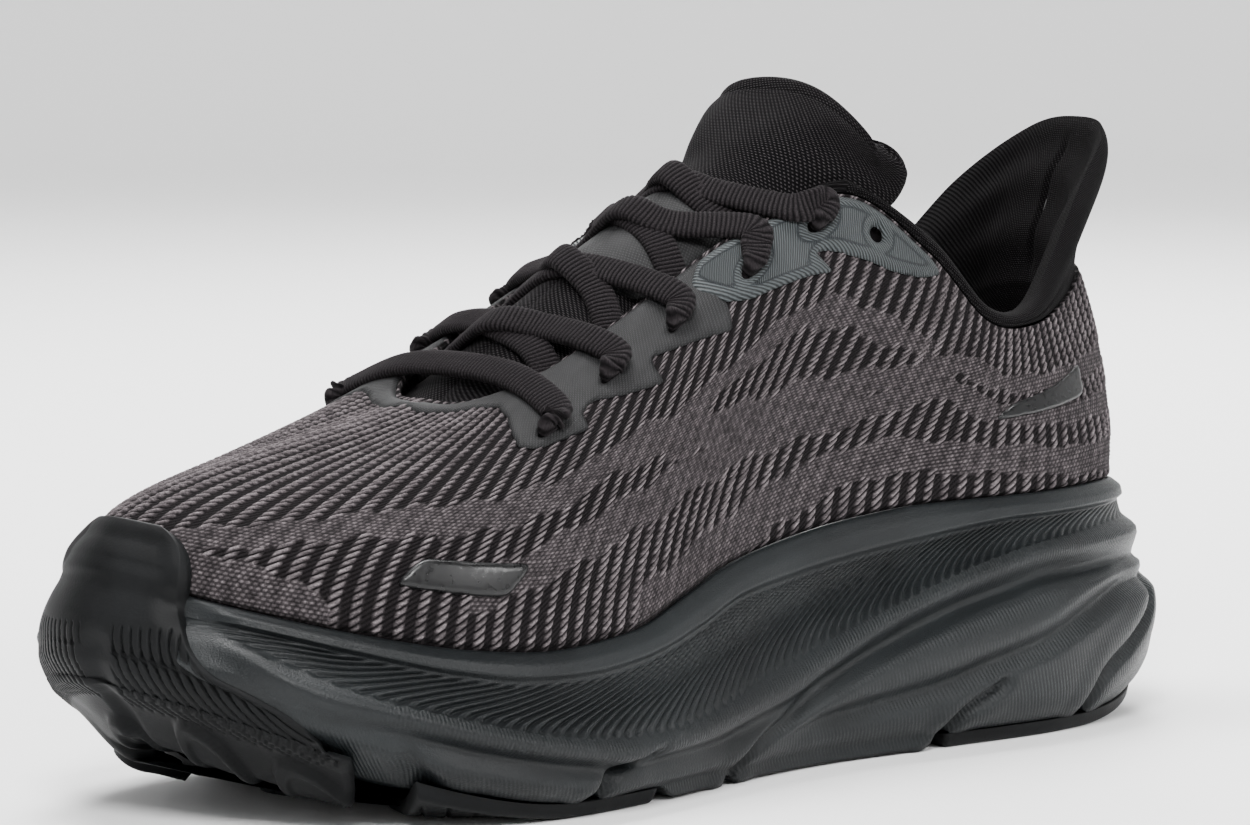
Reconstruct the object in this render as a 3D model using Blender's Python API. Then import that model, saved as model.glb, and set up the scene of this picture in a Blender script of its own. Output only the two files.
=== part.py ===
"""A low-cut running shoe, left foot, with a thick foam midsole.

Toe at -X, heel at +X, outer (lateral) side at -Y, inner (medial) side at +Y, up +Z.
The origin is on the ground, in the middle of the shoe's bounding box.
The design below is in millimetres and is turned into metres as each mesh is made.

Three formulas carry the whole shoe: the closed plan outline of the sole, the curved
side of the sole between the ground and its rim, and the skin of the upper, a band
lofted from the rim to the collar and throat. Each layer is that skin at its own depth.
"""
import math

import bmesh
import bpy
import numpy as np
from mathutils import Vector

MM = 0.001
GAP = 0.35                      # air kept between neighbouring pieces
CENTRE_X, CENTRE_Y = 6.0, -1.7  # middle of the plan outline in the design frame

# Plan outline at the sole's widest level: x, lateral y, medial y, from heel to toe.
HEEL_POINT = (155.5, -1.0)
TOE_POINT = (-143.5, 12.0)
OUTLINE = [
    (149, -24, 21), (130, -41, 36), (99, -49, 45), (63, -47.5, 43.5), (28, -45.5, 40.5),
    (-2, -49, 41.5), (-32, -55.5, 47), (-60, -58, 53), (-84, -55, 54.5),
    (-105, -46, 51), (-122, -32, 44), (-135.5, -13, 33.5),
]
STATIONS = 26                   # the outline's points all round

# Heights and insets along the length, as (x, millimetres).
RIM_HEIGHT = [
    (-144, 51.5), (-128, 46), (-110, 41.3), (-83, 36.6), (-62, 35), (-38, 36.6),
    (-19, 42.1), (-1, 47.8), (14, 50.6), (39, 54), (58, 55.3), (120, 55.3), (155, 53.5),
]
RIM_INSET = [(-144, 8), (-60, 8), (0, 7), (80, 7.5), (120, 9), (156, 11.5)]
TOE_SPRING, TOE_SPRING_FROM = 22.0, -52.0
EDGE_LIFT, EDGE_LIFT_FROM = 12.0, -55.0
HEEL_BEVEL, HEEL_BEVEL_FROM = 7.0, 108.0
FOOTBED = [(-150, 30), (-120, 27), (-60, 25), (0, 28), (60, 32), (156, 33)]
LEDGE = 4.4                     # flat top of the rim, where the upper is glued
PAD_THICKNESS = 3.2             # outsole rubber

# Upper edge of the knit, from the middle of the heel to the front of the throat.
TOP_EDGE = [
    (138, 0, 106), (133, 15, 104), (119, 24.5, 98), (101, 32, 93.5), (82, 35, 95.5),
    (65, 32.5, 112), (47, 24.5, 125.5), (18, 21.5, 119), (-3, 20.5, 109),
    (-21.5, 21, 99.8), (-36.5, 20.5, 92.5), (-47.5, 17.5, 87.6), (-54.5, 10, 84.6),
    (-57, 0.5, 84.8),
]
# Handles of the skin's side curve, from heel to toe. The low one leaves the rim
# (out, up); the high one leaves the top edge (share of the way to the rim, out, down).
LOW_HANDLE = [
    (2, 20), (2, 19), (2, 17), (2, 15), (2, 16), (2, 24), (2, 30), (2, 32), (2.5, 30),
    (3, 27), (3, 24), (3, 22), (3, 21), (3, 20),
]
HIGH_HANDLE = [
    (0, 7, 18), (0, 6, 17), (0, 4, 15), (0.2, 2, 13), (0.25, 2, 15), (0.3, 3, 24),
    (0.34, 7, 27), (0.38, 10, 26), (0.40, 10, 24), (0.40, 8, 20.5), (0.41, 6, 17),
    (0.42, 4, 14), (0.44, 2, 12.5), (0.45, 0, 11.5),
]
KNIT = 1.7                      # thickness of the knit
UPPER_COLUMNS = 72              # facets round the upper

# Collar crest: the highest line of the padded collar and heel tab.
CREST = [
    (148, 0, 139.2), (144.5, 12, 136.5), (127, 20.5, 123.5), (103, 28, 100),
    (84, 31, 98.9), (67.8, 28.5, 115.2), (48.5, 21, 129),
]

# Eyelets as places on the skin, and where each lace run crosses the throat's edge.
EYELETS = [(0.354, 0.68), (0.332, 0.80), (0.300, 0.85), (0.265, 0.88), (0.241, 0.93)]
SPARE_EYELET = (0.216, 0.93)
LACE_OVER_EDGE = [0.412, 0.365, 0.322, 0.275, 0.249]
FRONT_BAR = (-47.0, 0.0, 91.5)   # middle of the lace's first run
LACE_UNDER_EDGE = [0.382, 0.340, 0.294, 0.262]
EYELET_RADIUS = 2.85
LACE_RADIUS = 1.2
LACE_STEP = 6.0                 # spacing of the lace's points
THROAT_DEPTH = 6.6              # how far the tongue lies below the skin at the throat

# Tongue: its middle line (x, z) from under the vamp to its top, and its free wings.
TONGUE_LINE = [
    (-72, 73), (-56, 81), (-34, 97.5), (-12, 111.5), (8, 122.5), (22, 130), (33, 138),
    (42, 146), (49, 151.5),
]
TONGUE_COVERED = [0.462, 0.425, 0.375, 0.325, 0.285, 0.258]
TONGUE_WING = [
    [(38, 18.5, 136), (64, 23.2, 121.8)], [(44.5, 19, 144), (57.5, 27.5, 132)],
    [(49.8, 13, 149.3), (53, 23, 141.5)],
]
TONGUE_THICK = 3.0
HINGE_W = 0.655                 # where along the tongue its free top starts
HINGE_GAP = 1.3

COLOURS = {
    "foam": (0.030, 0.034, 0.036), "rubber": (0.022, 0.023, 0.025),
    "knit": (0.045, 0.040, 0.041), "lining": (0.016, 0.015, 0.016),
    "film": (0.070, 0.070, 0.073), "embroidery": (0.080, 0.100, 0.110),
    "lace": (0.022, 0.018, 0.019), "board": (0.30, 0.29, 0.27),
    "padding": (0.12, 0.12, 0.12), "stiffener": (0.09, 0.09, 0.10),
    "gloss": (0.012, 0.012, 0.013),
}
ROUGHNESS = {"foam": 0.55, "rubber": 0.6, "film": 0.45, "gloss": 0.35, "embroidery": 0.6}


# ---------------------------------------------------------------- curves and formulas

def table(knots, x):
    """Smooth curve through the knots, without overshoot."""
    knots = np.asarray(knots, float)
    kx, ky = knots[:, 0], knots[:, 1]
    x = np.clip(np.asarray(x, float), kx[0], kx[-1])
    step = np.diff(kx)
    rise = np.diff(ky) / step
    same = rise[:-1] * rise[1:] > 0
    slope = np.zeros(len(kx))
    slope[1:-1] = np.where(same, 2 * rise[:-1] * rise[1:] / (rise[:-1] + rise[1:] + 1e-12), 0)
    slope[0], slope[-1] = rise[0], rise[-1]
    i = np.clip(np.searchsorted(kx, x) - 1, 0, len(kx) - 2)
    t = (x - kx[i]) / step[i]
    return ((2 * t**3 - 3 * t**2 + 1) * ky[i] + (t**3 - 2 * t**2 + t) * step[i] * slope[i]
            + (3 * t**2 - 2 * t**3) * ky[i + 1] + (t**3 - t**2) * step[i] * slope[i + 1])


def cardinal(p0, p1, p2, p3, t):
    """One span of a Catmull-Rom curve."""
    t = t[..., None]
    return 0.5 * (2 * p1 + (p2 - p0) * t + (2 * p0 - 5 * p1 + 4 * p2 - p3) * t**2
                  + (3 * p1 - p0 - 3 * p2 + p3) * t**3)


def around(points, t):
    """Closed smooth curve through points, t from 0 to 1 once round."""
    points = np.asarray(points, float)
    n = len(points)
    u = (np.asarray(t, float) % 1.0) * n
    i = np.floor(u).astype(int)
    return cardinal(points[(i - 1) % n], points[i % n], points[(i + 1) % n],
                    points[(i + 2) % n], u - i)


def along(points, t):
    """Open smooth curve through points, t from 0 to 1."""
    points = np.asarray(points, float)
    padded = np.vstack([2 * points[0] - points[1], points, 2 * points[-1] - points[-2]])
    u = np.clip(np.asarray(t, float), 0, 1) * (len(points) - 1)
    i = np.minimum(np.floor(u).astype(int), len(points) - 2)
    return cardinal(padded[i], padded[i + 1], padded[i + 2], padded[i + 3], u - i)


def ramp(low, high, x):
    """0 below low, 1 above high, smooth between."""
    s = np.clip((np.asarray(x, float) - low) / (high - low), 0, 1)
    return s * s * (3 - 2 * s)


def mirrored(half, flip_y):
    """Stations for the whole way round from heel-to-toe ones for one side."""
    half = np.asarray(half, float)
    back = half[-2:0:-1].copy()
    if flip_y:
        half = half * [1, -1, 1]
    return np.vstack([half, back])


def outline(t):
    lateral = [(x, low) for x, low, _ in OUTLINE]
    medial = [(x, high) for x, _, high in reversed(OUTLINE)]
    return around([HEEL_POINT, *lateral, TOE_POINT, *medial], t)


def outward(t):
    """Level direction pointing out of the outline."""
    step = 0.004
    run = outline(np.asarray(t) + step) - outline(np.asarray(t) - step)
    across = np.stack([-run[..., 1], run[..., 0]], -1)
    return across / np.linalg.norm(across, axis=-1)[..., None]


def sole_point(t, inset, z):
    """Point at a distance inside the outline, at height z."""
    flat = outline(t) - outward(t) * np.asarray(inset)[..., None]
    return np.concatenate([flat, np.broadcast_to(z, flat.shape[:-1])[..., None]], -1)


def ground(x):
    """Height of the sole's underside along its middle."""
    toe = np.clip((TOE_SPRING_FROM - x) / 100, 0, None) ** 2.6
    heel = np.clip((x - HEEL_BEVEL_FROM) / 48, 0, None) ** 1.7
    return TOE_SPRING * toe + HEEL_BEVEL * heel


def underside(x, inset):
    """Height of the underside: its edge lifts towards the toe."""
    edge = ramp(20, 4, inset) * ramp(0, 85, EDGE_LIFT_FROM - x)
    return ground(x) + EDGE_LIFT * edge


def rim(t):
    """Height and inset of the sole's rim."""
    x = outline(t)[..., 0]
    return table(RIM_HEIGHT, x), table(RIM_INSET, x)


def skin(t, v):
    """Outer face of the upper: t once round from the heel, v from the rim to the top."""
    t, v = np.broadcast_arrays(np.asarray(t, float), np.asarray(v, float))
    height, inset = rim(t)
    start = sole_point(t, inset + 1.2, height + GAP)
    end = around(mirrored(TOP_EDGE, True), t)
    low = around(mirrored(LOW_HANDLE, False), t)
    high = around(mirrored(HIGH_HANDLE, False), t)
    out = np.concatenate([outward(t), np.zeros(t.shape + (1,))], -1)
    up = np.array([0.0, 0.0, 1.0])
    first = start + out * low[..., :1] + up * low[..., 1:]
    toward = (start - end) * [1, 1, 0]
    second = end + toward * high[..., :1] + out * high[..., 1:2] - up * high[..., 2:]
    v = v[..., None]
    return ((1 - v)**3 * start + 3 * (1 - v)**2 * v * first
            + 3 * (1 - v) * v**2 * second + v**3 * end)


def layer(t, v, depth):
    """Point of a layer: depth is measured outwards from the skin."""
    t, v = np.broadcast_arrays(np.asarray(t, float), np.asarray(v, float))
    e = 0.004
    along_t = skin(t + e, v) - skin(t - e, v)
    along_v = skin(t, np.minimum(v + e, 1)) - skin(t, np.maximum(v - e, 0))
    normal = np.cross(along_v, along_t)
    normal /= np.linalg.norm(normal, axis=-1)[..., None]
    return skin(t, v) + normal * np.broadcast_to(depth, t.shape)[..., None]


# ---------------------------------------------------------------- mesh and scene tools

def metres(points):
    return (np.asarray(points, float) - [CENTRE_X, CENTRE_Y, 0]) * MM


def material(name):
    if name in bpy.data.materials:
        return bpy.data.materials[name]
    made = bpy.data.materials.new(name)
    made.use_nodes = True
    shader = made.node_tree.nodes["Principled BSDF"]
    shader.inputs["Base Color"].default_value = (*COLOURS[name], 1)
    shader.inputs["Roughness"].default_value = ROUGHNESS.get(name, 0.9)
    made.diffuse_color = (*COLOURS[name], 1)
    return made


def collection(name):
    if name not in bpy.data.collections:
        bpy.context.scene.collection.children.link(bpy.data.collections.new(name))
    return bpy.data.collections[name]


def object_from(name, bm, finish, where="running_shoe"):
    bmesh.ops.recalc_face_normals(bm, faces=bm.faces)
    mesh = bpy.data.meshes.new(name)
    bm.to_mesh(mesh)
    bm.free()
    made = bpy.data.objects.new(name, mesh)
    made.data.materials.append(material(finish))
    made.data.shade_smooth()
    collection(where).objects.link(made)
    return made


def add_sheet(bm, outer, inner, closed=False):
    """A closed solid between two facing grids of points (rows, columns)."""
    rows, columns = outer.shape[:2]
    grids = [[[bm.verts.new(p) for p in row] for row in metres(g)] for g in (outer, inner)]
    spans = range(columns if closed else columns - 1)
    for i in range(rows - 1):
        for j in spans:
            k = (j + 1) % columns
            for grid in grids:
                bm.faces.new((grid[i][j], grid[i][k], grid[i + 1][k], grid[i + 1][j]))
    top, bottom = grids
    for i in (0, rows - 1):
        for j in spans:
            k = (j + 1) % columns
            bm.faces.new((top[i][j], top[i][k], bottom[i][k], bottom[i][j]))
    if not closed:
        for j in (0, columns - 1):
            for i in range(rows - 1):
                bm.faces.new((top[i][j], top[i + 1][j], bottom[i + 1][j], bottom[i][j]))


def sheet(name, outer, inner, finish, closed=False):
    bm = bmesh.new()
    add_sheet(bm, np.asarray(outer), np.asarray(inner), closed)
    return object_from(name, bm, finish)


def skin_sheet(name, t, v, outside, inside, finish, closed=False):
    """A layer of the upper, between two depths."""
    t, v = np.meshgrid(t, v)
    return sheet(name, layer(t, v, outside), layer(t, v, inside), finish, closed)


def ring_solid(name, rings, finish):
    """A closed solid from rings of points, its two ends closed by cross strips."""
    bm = bmesh.new()
    loops = [[bm.verts.new(p) for p in metres(ring)] for ring in rings]
    n = len(loops[0])
    for low, high in zip(loops, loops[1:]):
        for i in range(n):
            j = (i + 1) % n
            bm.faces.new((low[i], low[j], high[j], high[i]))
    for loop in (loops[0], loops[-1]):
        bm.faces.new((loop[0], loop[1], loop[-1]))
        for i in range(1, n // 2 - 1):
            bm.faces.new((loop[i], loop[i + 1], loop[n - i - 1], loop[n - i]))
        bm.faces.new((loop[n // 2 - 1], loop[n // 2], loop[n // 2 + 1]))
    bmesh.ops.triangulate(bm, faces=bm.faces)
    return object_from(name, bm, finish)


def cut(target, cutters):
    """Boolean-cut the cutters from the target, and keep the result as its mesh."""
    for cutter in cutters:
        step = target.modifiers.new("cut", "BOOLEAN")
        step.operation, step.solver, step.object = "DIFFERENCE", "EXACT", cutter


def round_cutter(name, centre, axis, radius, length):
    bm = bmesh.new()
    bmesh.ops.create_cone(bm, cap_ends=True, segments=12, radius1=radius * MM,
                          radius2=radius * MM, depth=length * MM)
    made = object_from(name, bm, "film", "cutters")
    made.location = Vector(metres(centre))
    made.rotation_mode = "QUATERNION"
    made.rotation_quaternion = Vector(axis).to_track_quat("Z", "Y")
    made.hide_render = True
    made.display_type = "WIRE"
    return made


def tube(name, points, radius, finish):
    """A round cord through points, with filled ends."""
    curve = bpy.data.curves.new(name, "CURVE")
    curve.dimensions = "3D"
    curve.bevel_depth = radius * MM
    curve.bevel_resolution = 1
    curve.use_fill_caps = True
    spline = curve.splines.new("POLY")
    places = metres(points)
    spline.points.add(len(places) - 1)
    for point, place in zip(spline.points, places):
        point.co = (*place, 1)
    made = bpy.data.objects.new(name, curve)
    made.data.materials.append(material(finish))
    collection("running_shoe").objects.link(made)
    return made


# ---------------------------------------------------------------- the sole

ALL_ROUND = np.arange(96) / 96


def make_midsole():
    """Foam midsole: bulging sidewall, concave band under the rim, dished footbed."""
    t = ALL_ROUND
    x = outline(t)[:, 0]
    top, inset = rim(t)
    low = underside(x, 6) + PAD_THICKNESS + GAP
    tall = top - low
    rings = [
        sole_point(t, 0 * x + 26, ground(x) + PAD_THICKNESS + GAP),
        sole_point(t, 0 * x + 14, underside(x, 14) + PAD_THICKNESS + GAP),
        sole_point(t, 0 * x + 6, low),
        sole_point(t, 0 * x + 1.5, low + 0.16 * tall),
        sole_point(t, 0 * x, low + 0.38 * tall),
        sole_point(t, 0.28 * inset, low + 0.60 * tall),
        sole_point(t, 0.85 * inset, low + 0.83 * tall),
        sole_point(t, inset, top),
        sole_point(t, inset + LEDGE, top),
        sole_point(t, inset + LEDGE + 2.0, table(FOOTBED, x)),
    ]
    ring_solid("midsole", rings, "foam")


def make_pad(name, t0, t1, near, far, columns=7):
    """A rubber outsole pad along the sole's edge, between two insets."""
    t, inset = np.meshgrid(np.linspace(t0, t1, columns), np.linspace(near, far, 4))
    flat = sole_point(t, inset, 0.0)
    z = underside(flat[..., 0], inset)
    z = np.where(np.abs(z) < 0.02, 0, z)
    low, high = flat.copy(), flat.copy()
    low[..., 2], high[..., 2] = z, z + PAD_THICKNESS
    sheet(name, high, low, "rubber")


def make_outsole():
    for side, sign in (("lateral", 1), ("medial", -1)):
        make_pad(f"heel_pad_{side}", sign * 0.050, sign * 0.155, 6, 30)
        make_pad(f"forefoot_pad_{side}", sign * 0.270, sign * 0.372, 6, 33)
        make_pad(f"toe_pad_{side}", sign * 0.385, sign * 0.470, 6, 30)
    make_pad("heel_pad_rear", -0.043, 0.043, 6, 24)
    make_pad("toe_pad_tip", 0.478, 0.522, 6, 26)
    make_forefoot_lugs()


def make_forefoot_lugs():
    """Oval rubber rings down the middle of the forefoot."""
    lugs = (("rear", -32, -2, 13, 9), ("middle", -61, -1, 13, 10), ("front", -88, 2, 11, 9))
    for place, x, y, long, wide in lugs:
        angle = np.linspace(0, 2 * math.pi, 16, endpoint=False)
        radii = np.array([0.35, 1.0])[:, None]
        px = x + long * radii * np.cos(angle)
        py = y + wide * radii * np.sin(angle)
        low = np.stack([px, py, ground(px)], -1)
        sheet(f"forefoot_lug_{place}", low + [0, 0, PAD_THICKNESS], low, "rubber", closed=True)


# ---------------------------------------------------------------- the upper

COLLAR_END = 6 / STATIONS       # the collar's front ends, as t from the heel


def crest(t):
    """Highest line of the collar, for t between plus and minus COLLAR_END."""
    half = np.asarray(CREST, float)
    points = np.vstack([half[:0:-1], half * [1, -1, 1]])
    return along(points, (np.asarray(t) + COLLAR_END) / (2 * COLLAR_END))


def padding(t, v):
    """How far the lining lies inside the skin."""
    fullness = table([(0, 5.6), (0.2, 6.2), (0.6, 8.2), (1, 8.6)], v)
    thin = 1 - 0.42 * ramp(0.10, COLLAR_END, np.abs(t))
    return 4.9 + (fullness - 4.9) * thin


def bezier(p0, p1, p2, p3, u):
    return ((1 - u)**3 * p0 + 3 * (1 - u)**2 * u * p1 + 3 * (1 - u) * u**2 * p2 + u**3 * p3)


LINING_TOP = 0.93


def cover_surface(t, rows_out=5, rows_in=5, rows_down=4):
    """Visible face of the collar cover: up from the knit, over the crest, down inside."""
    t = np.asarray(t, float)
    edge, top = skin(t, 1.0 + 0 * t), crest(t)
    normal = layer(t, 1.0 + 0 * t, 1.0) - edge
    run = np.cross(skin(t + 0.004, 1.0 + 0 * t) - skin(t - 0.004, 1.0 + 0 * t), normal)
    run /= np.linalg.norm(run, axis=-1)[:, None]
    bottom = edge + run * 0.6
    out = np.concatenate([outward(t), np.zeros(t.shape + (1,))], -1)
    up = np.array([0.0, 0.0, 1.0])
    tall = np.linalg.norm(top - bottom, axis=-1)[:, None]
    inner = layer(t, LINING_TOP, -padding(t, LINING_TOP + 0 * t))
    drop = np.linalg.norm(top - inner, axis=-1)[:, None]
    outer_side = [bottom, bottom + run * 0.3 * tall,
                  top + out * (1.6 + 0.12 * tall) - up * 0.24 * tall, top]
    inner_side = [top, top - out * (1.9 + 0.09 * tall) - up * 0.20 * drop,
                  inner + up * 0.38 * drop, inner]
    rows = [bezier(*outer_side, u) for u in np.linspace(0, 1, rows_out)]
    rows += [bezier(*inner_side, u) for u in np.linspace(0, 1, rows_in + 1)[1:]]
    for v in np.linspace(LINING_TOP, 0.04, rows_down + 1)[1:]:
        rows.append(layer(t, v, -padding(t, v + 0 * t)))
    return np.array(rows)


def offset(grid, depth, closed=False):
    """The grid moved along its own normals, away from the side it faces."""
    around_it = np.roll(grid, -1, 1) - np.roll(grid, 1, 1) if closed else np.gradient(grid, axis=1)
    normal = np.cross(np.gradient(grid, axis=0), around_it)
    normal /= np.linalg.norm(normal, axis=-1)[..., None]
    return grid + normal * np.broadcast_to(depth, grid.shape[:2])[..., None]


def eyelet_cutters(layer_name, places):
    """Round holes square to the skin, on both sides of the throat."""
    made = []
    for t, v in places:
        for sign in (1, -1):
            low, high = (layer(np.array([sign * t]), v, d)[0] for d in (-3, 3))
            name = f"{layer_name}_hole_{len(made)}"
            made.append(round_cutter(name, (low + high) / 2, high - low, EYELET_RADIUS, 9))
    return made


def make_upper():
    t = np.arange(UPPER_COLUMNS) / UPPER_COLUMNS
    v = 1 - (1 - np.linspace(0, 1, 9)) ** 1.3       # closer rows where the skin curls in
    knit = skin_sheet("upper", t, v, 0.0, -KNIT, "knit", closed=True)
    cut(knit, eyelet_cutters("upper", [*EYELETS, SPARE_EYELET]))


def make_stiffeners():
    """Heel counter between the knit and the lining, and the toe puff."""
    outside = -KNIT - GAP
    t = np.linspace(-0.125, 0.125, 17)
    skin_sheet("heel_counter", t, np.linspace(0.06, 0.60, 5), outside, outside - 1.3, "stiffener")
    t = np.arange(31, 42) / UPPER_COLUMNS
    skin_sheet("toe_puff", t, np.linspace(0.05, 0.30, 4), outside - 0.5, outside - 1.3, "stiffener")


COVER = 1.2                     # thickness of the collar's fabric


def make_collar():
    """Padded collar and heel tab: one cover over separate foam pads."""
    t = np.arange(-15, 16) / UPPER_COLUMNS
    face = cover_surface(t)
    back = offset(face, -COVER)
    back[0] = face[0] + layer(t, 1.0, -COVER) - skin(t, 1.0)    # square over the knit's edge
    sheet("collar_cover", face, back, "lining")
    for side, sign in (("lateral", 1), ("medial", -1)):
        t, v = np.meshgrid(sign * np.linspace(0.068, 0.205, 10), np.linspace(0.40, 0.93, 5))
        back = -padding(t, v) + COVER + GAP
        front = np.full(t.shape, -KNIT - GAP)
        front = np.where((v < 0.72) & (np.abs(t) < 0.15), front - 1.3 - GAP, front)
        sheet(f"collar_foam_{side}", layer(t, v, front), layer(t, v, back), "padding")
    t, v = np.meshgrid(np.linspace(-0.062, 0.062, 9), np.linspace(0.66, 0.92, 4))
    back = -padding(t, v) + COVER + 1.5 * GAP
    sheet("heel_foam", layer(t, v, -KNIT - GAP), layer(t, v, back), "padding")
    make_tab_foam()


def make_tab_foam():
    t = np.linspace(-0.062, 0.062, 9)
    face = cover_surface(t, 9, 9, 2)
    deep = offset(face, -COVER - GAP)
    outside, inside = deep[1:7], deep[15:9:-1]
    sheet("heel_tab_foam", outside, inside, "padding")


# ---------------------------------------------------------------- tongue and lace

def tongue_net():
    """Points across the tongue at each of its stations: edge, side, middle, side, edge."""
    rows = []
    for k, (x, z) in enumerate(TONGUE_LINE):
        if k < len(TONGUE_COVERED):
            t = np.array([TONGUE_COVERED[k]])
            side = layer(t, 0.99, -THROAT_DEPTH)[0]
            edge = layer(t, 0.90, -THROAT_DEPTH - 0.4)[0]
            side, edge = side * [1, -1, 1], edge * [1, -1, 1]
        else:
            side, edge = (np.array(p, float) for p in TONGUE_WING[k - len(TONGUE_COVERED)])
        flip = [1, -1, 1]
        rows.append([edge * flip, side * flip, (x, 0.0, z), side, edge])
    return np.array(rows, float)


def tongue_surface(w, u):
    """Front face of the tongue: w from its hidden end to its top, u from -1 to 1 across."""
    net = tongue_net()
    strips = [along(net[:, j], w) for j in range(net.shape[1])]
    return np.array([[along([s[i] for s in strips], (q + 1) / 2) for q in u]
                     for i in range(len(w))])


def make_tongue():
    u = np.linspace(-1, 1, 11)
    face = tongue_surface(np.linspace(0, HINGE_W, 13), u)
    sheet("tongue_body", face, offset(face, -TONGUE_THICK), "lining")
    gap = HINGE_GAP / 100
    face = tongue_surface(np.linspace(HINGE_W + gap, 1, 7), u)
    front = offset(face, -1.0)
    back = offset(face, -3.6)
    sheet("tongue_top_face", face, front, "lining")
    sheet("tongue_top_padding", offset(face, -1.0 - GAP), back, "padding")
    sheet("tongue_top_lining", offset(face, -3.6 - GAP), offset(face, -4.9), "lining")
    patch = tongue_surface(np.linspace(0.36, 0.60, 6), np.linspace(-0.42, 0.42, 7))
    sheet("tongue_patch", offset(patch, 0.9), offset(patch, GAP), "film")


def make_gussets():
    """Stretch webs that join the tongue's edges to the inside of the upper."""
    for side, sign in (("lateral", 1), ("medial", -1)):
        t = sign * np.linspace(0.285, 0.415, 9)
        skin_sheet(f"tongue_gusset_{side}", t, np.linspace(0.12, 0.60, 4), -2.1, -2.8, "lining")


def lace_half(sign):
    """Half of the lace, from the middle of the front bar to its tucked-in end."""
    def at(t, v, depth, side):
        return layer(np.array([side * t]), v, depth)[0]

    def middle(w, height):
        place = tongue_surface([w], [0.0])[0, 0]
        return place + np.array([-0.5, 0, 0.85]) * height

    side = sign
    points = [np.array(FRONT_BAR)]
    for k, (t, v) in enumerate(EYELETS):
        points.append(at(LACE_OVER_EDGE[k], 0.985, 3.2, side))
        points += [at(t, v + 0.04, 3.5, side), at(t, v, 2.1, side)]
        points += [at(t, v, -0.4, side), at(t, v, -3.2, side)]
        if k == len(EYELETS) - 1:
            break
        points.append(at(0.5 * (t + LACE_UNDER_EDGE[k]), 0.5 * (v + 0.98), -4.0, side))
        points.append(at(LACE_UNDER_EDGE[k], 0.99, -3.8, side))
        w = 0.25 + 0.11 * k
        points.append(middle(w, 2.9 if sign == 1 else 6.0))
        side = -side
    for t, v in ((0.243, 0.84), (0.247, 0.72), (0.250, 0.58), (0.252, 0.44)):
        points.append(at(t, v, -3.7, side))
    return points


def make_lace():
    """One lace, criss-cross through five pairs of eyelets, its two ends tucked in."""
    left, right = lace_half(1), lace_half(-1)
    route = along(left[:0:-1] + right, np.linspace(0, 1, 1200))
    gone = np.r_[0, np.cumsum(np.linalg.norm(np.diff(route, axis=0), axis=1))]
    marks = np.linspace(0, gone[-1], int(gone[-1] / LACE_STEP))
    even = np.stack([np.interp(marks, gone, route[:, i]) for i in range(3)], -1)
    tube("lace", even, LACE_RADIUS, "lace")


def make_overlays():
    """Film eyestays with lobes round the eyelets, and the embroidered top patches."""
    low = [(0.255, 0.80), (0.268, 0.735), (0.285, 0.79), (0.300, 0.69), (0.312, 0.78),
           (0.330, 0.655), (0.342, 0.71), (0.355, 0.60), (0.372, 0.66), (0.392, 0.80),
           (0.42, 0.87), (0.46, 0.885), (0.5, 0.89)]
    for side, sign in (("lateral", 1), ("medial", -1)):
        t = np.linspace(0.292, 0.496, 22)
        v = table(low, t)[None] * np.linspace(1, 0, 4)[:, None] + 0.985 * np.linspace(0, 1, 4)[:, None]
        t = np.broadcast_to(t, v.shape) * sign
        film = sheet(f"eyestay_{side}", layer(t, v, 1.0), layer(t, v, GAP), "film")
        cut(film, eyelet_cutters(f"eyestay_{side}", EYELETS[:3]))
        t = np.linspace(0.203, 0.288, 12)
        bottom = table([(0.203, 0.90), (0.225, 0.84), (0.245, 0.80), (0.288, 0.82)], t)
        v = bottom[None] + (0.985 - bottom[None]) * np.linspace(0, 1, 4)[:, None]
        t = np.broadcast_to(t, v.shape) * sign
        patch = sheet(f"eyelet_patch_{side}", layer(t, v, 1.3), layer(t, v, GAP), "embroidery")
        cut(patch, eyelet_cutters(f"eyelet_patch_{side}", [*EYELETS[3:], SPARE_EYELET]))


def make_footbed():
    """Strobel board glued in the dish, and the loose sockliner on it."""
    t = ALL_ROUND[::2]
    x = outline(t)[:, 0]
    inset = rim(t)[1] + LEDGE + 3.2
    z = table(FOOTBED, x) + GAP
    rings = [sole_point(t, inset, z), sole_point(t, inset - 0.2, z + 1.2)]
    ring_solid("strobel_board", rings, "board")
    rings = [sole_point(t, inset, z + 1.2 + GAP), sole_point(t, inset - 0.4, z + 5.4),
             sole_point(t, inset + 4, z + 4.6)]
    ring_solid("sockliner", rings, "lining")


def make_toe_bumper():
    """Rubber toe guard that climbs from the rim over the front of the knit."""
    t, v = np.meshgrid(np.linspace(0.452, 0.530, 10), np.linspace(0.01, 1, 5))
    top = table([(0.452, 0.05), (0.466, 0.17), (0.49, 0.23), (0.515, 0.19), (0.530, 0.05)], t)
    sheet("toe_bumper", layer(t, v * top, 1.9), layer(t, v * top, GAP), "rubber")


def make_marks():
    """Plain raised film shapes on the sides of the forefoot and heel."""
    for side, sign in (("lateral", 1), ("medial", -1)):
        t, v = np.meshgrid(sign * np.linspace(0.330, 0.380, 6), np.linspace(0.17, 0.24, 3))
        sheet(f"forefoot_mark_{side}", layer(t, v, 0.9), layer(t, v, GAP), "gloss")
        t, v = np.meshgrid(sign * np.linspace(0.090, 0.140, 6), np.linspace(0.50, 0.60, 3))
        sheet(f"heel_mark_{side}", layer(t, v, 0.9), layer(t, v, GAP), "gloss")


def main():
    for old in list(bpy.data.objects):
        bpy.data.objects.remove(old)
    make_midsole()
    make_outsole()
    make_footbed()
    make_upper()
    make_stiffeners()
    make_collar()
    make_tongue()
    make_gussets()
    make_overlays()
    make_toe_bumper()
    make_marks()
    make_lace()


main()
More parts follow.
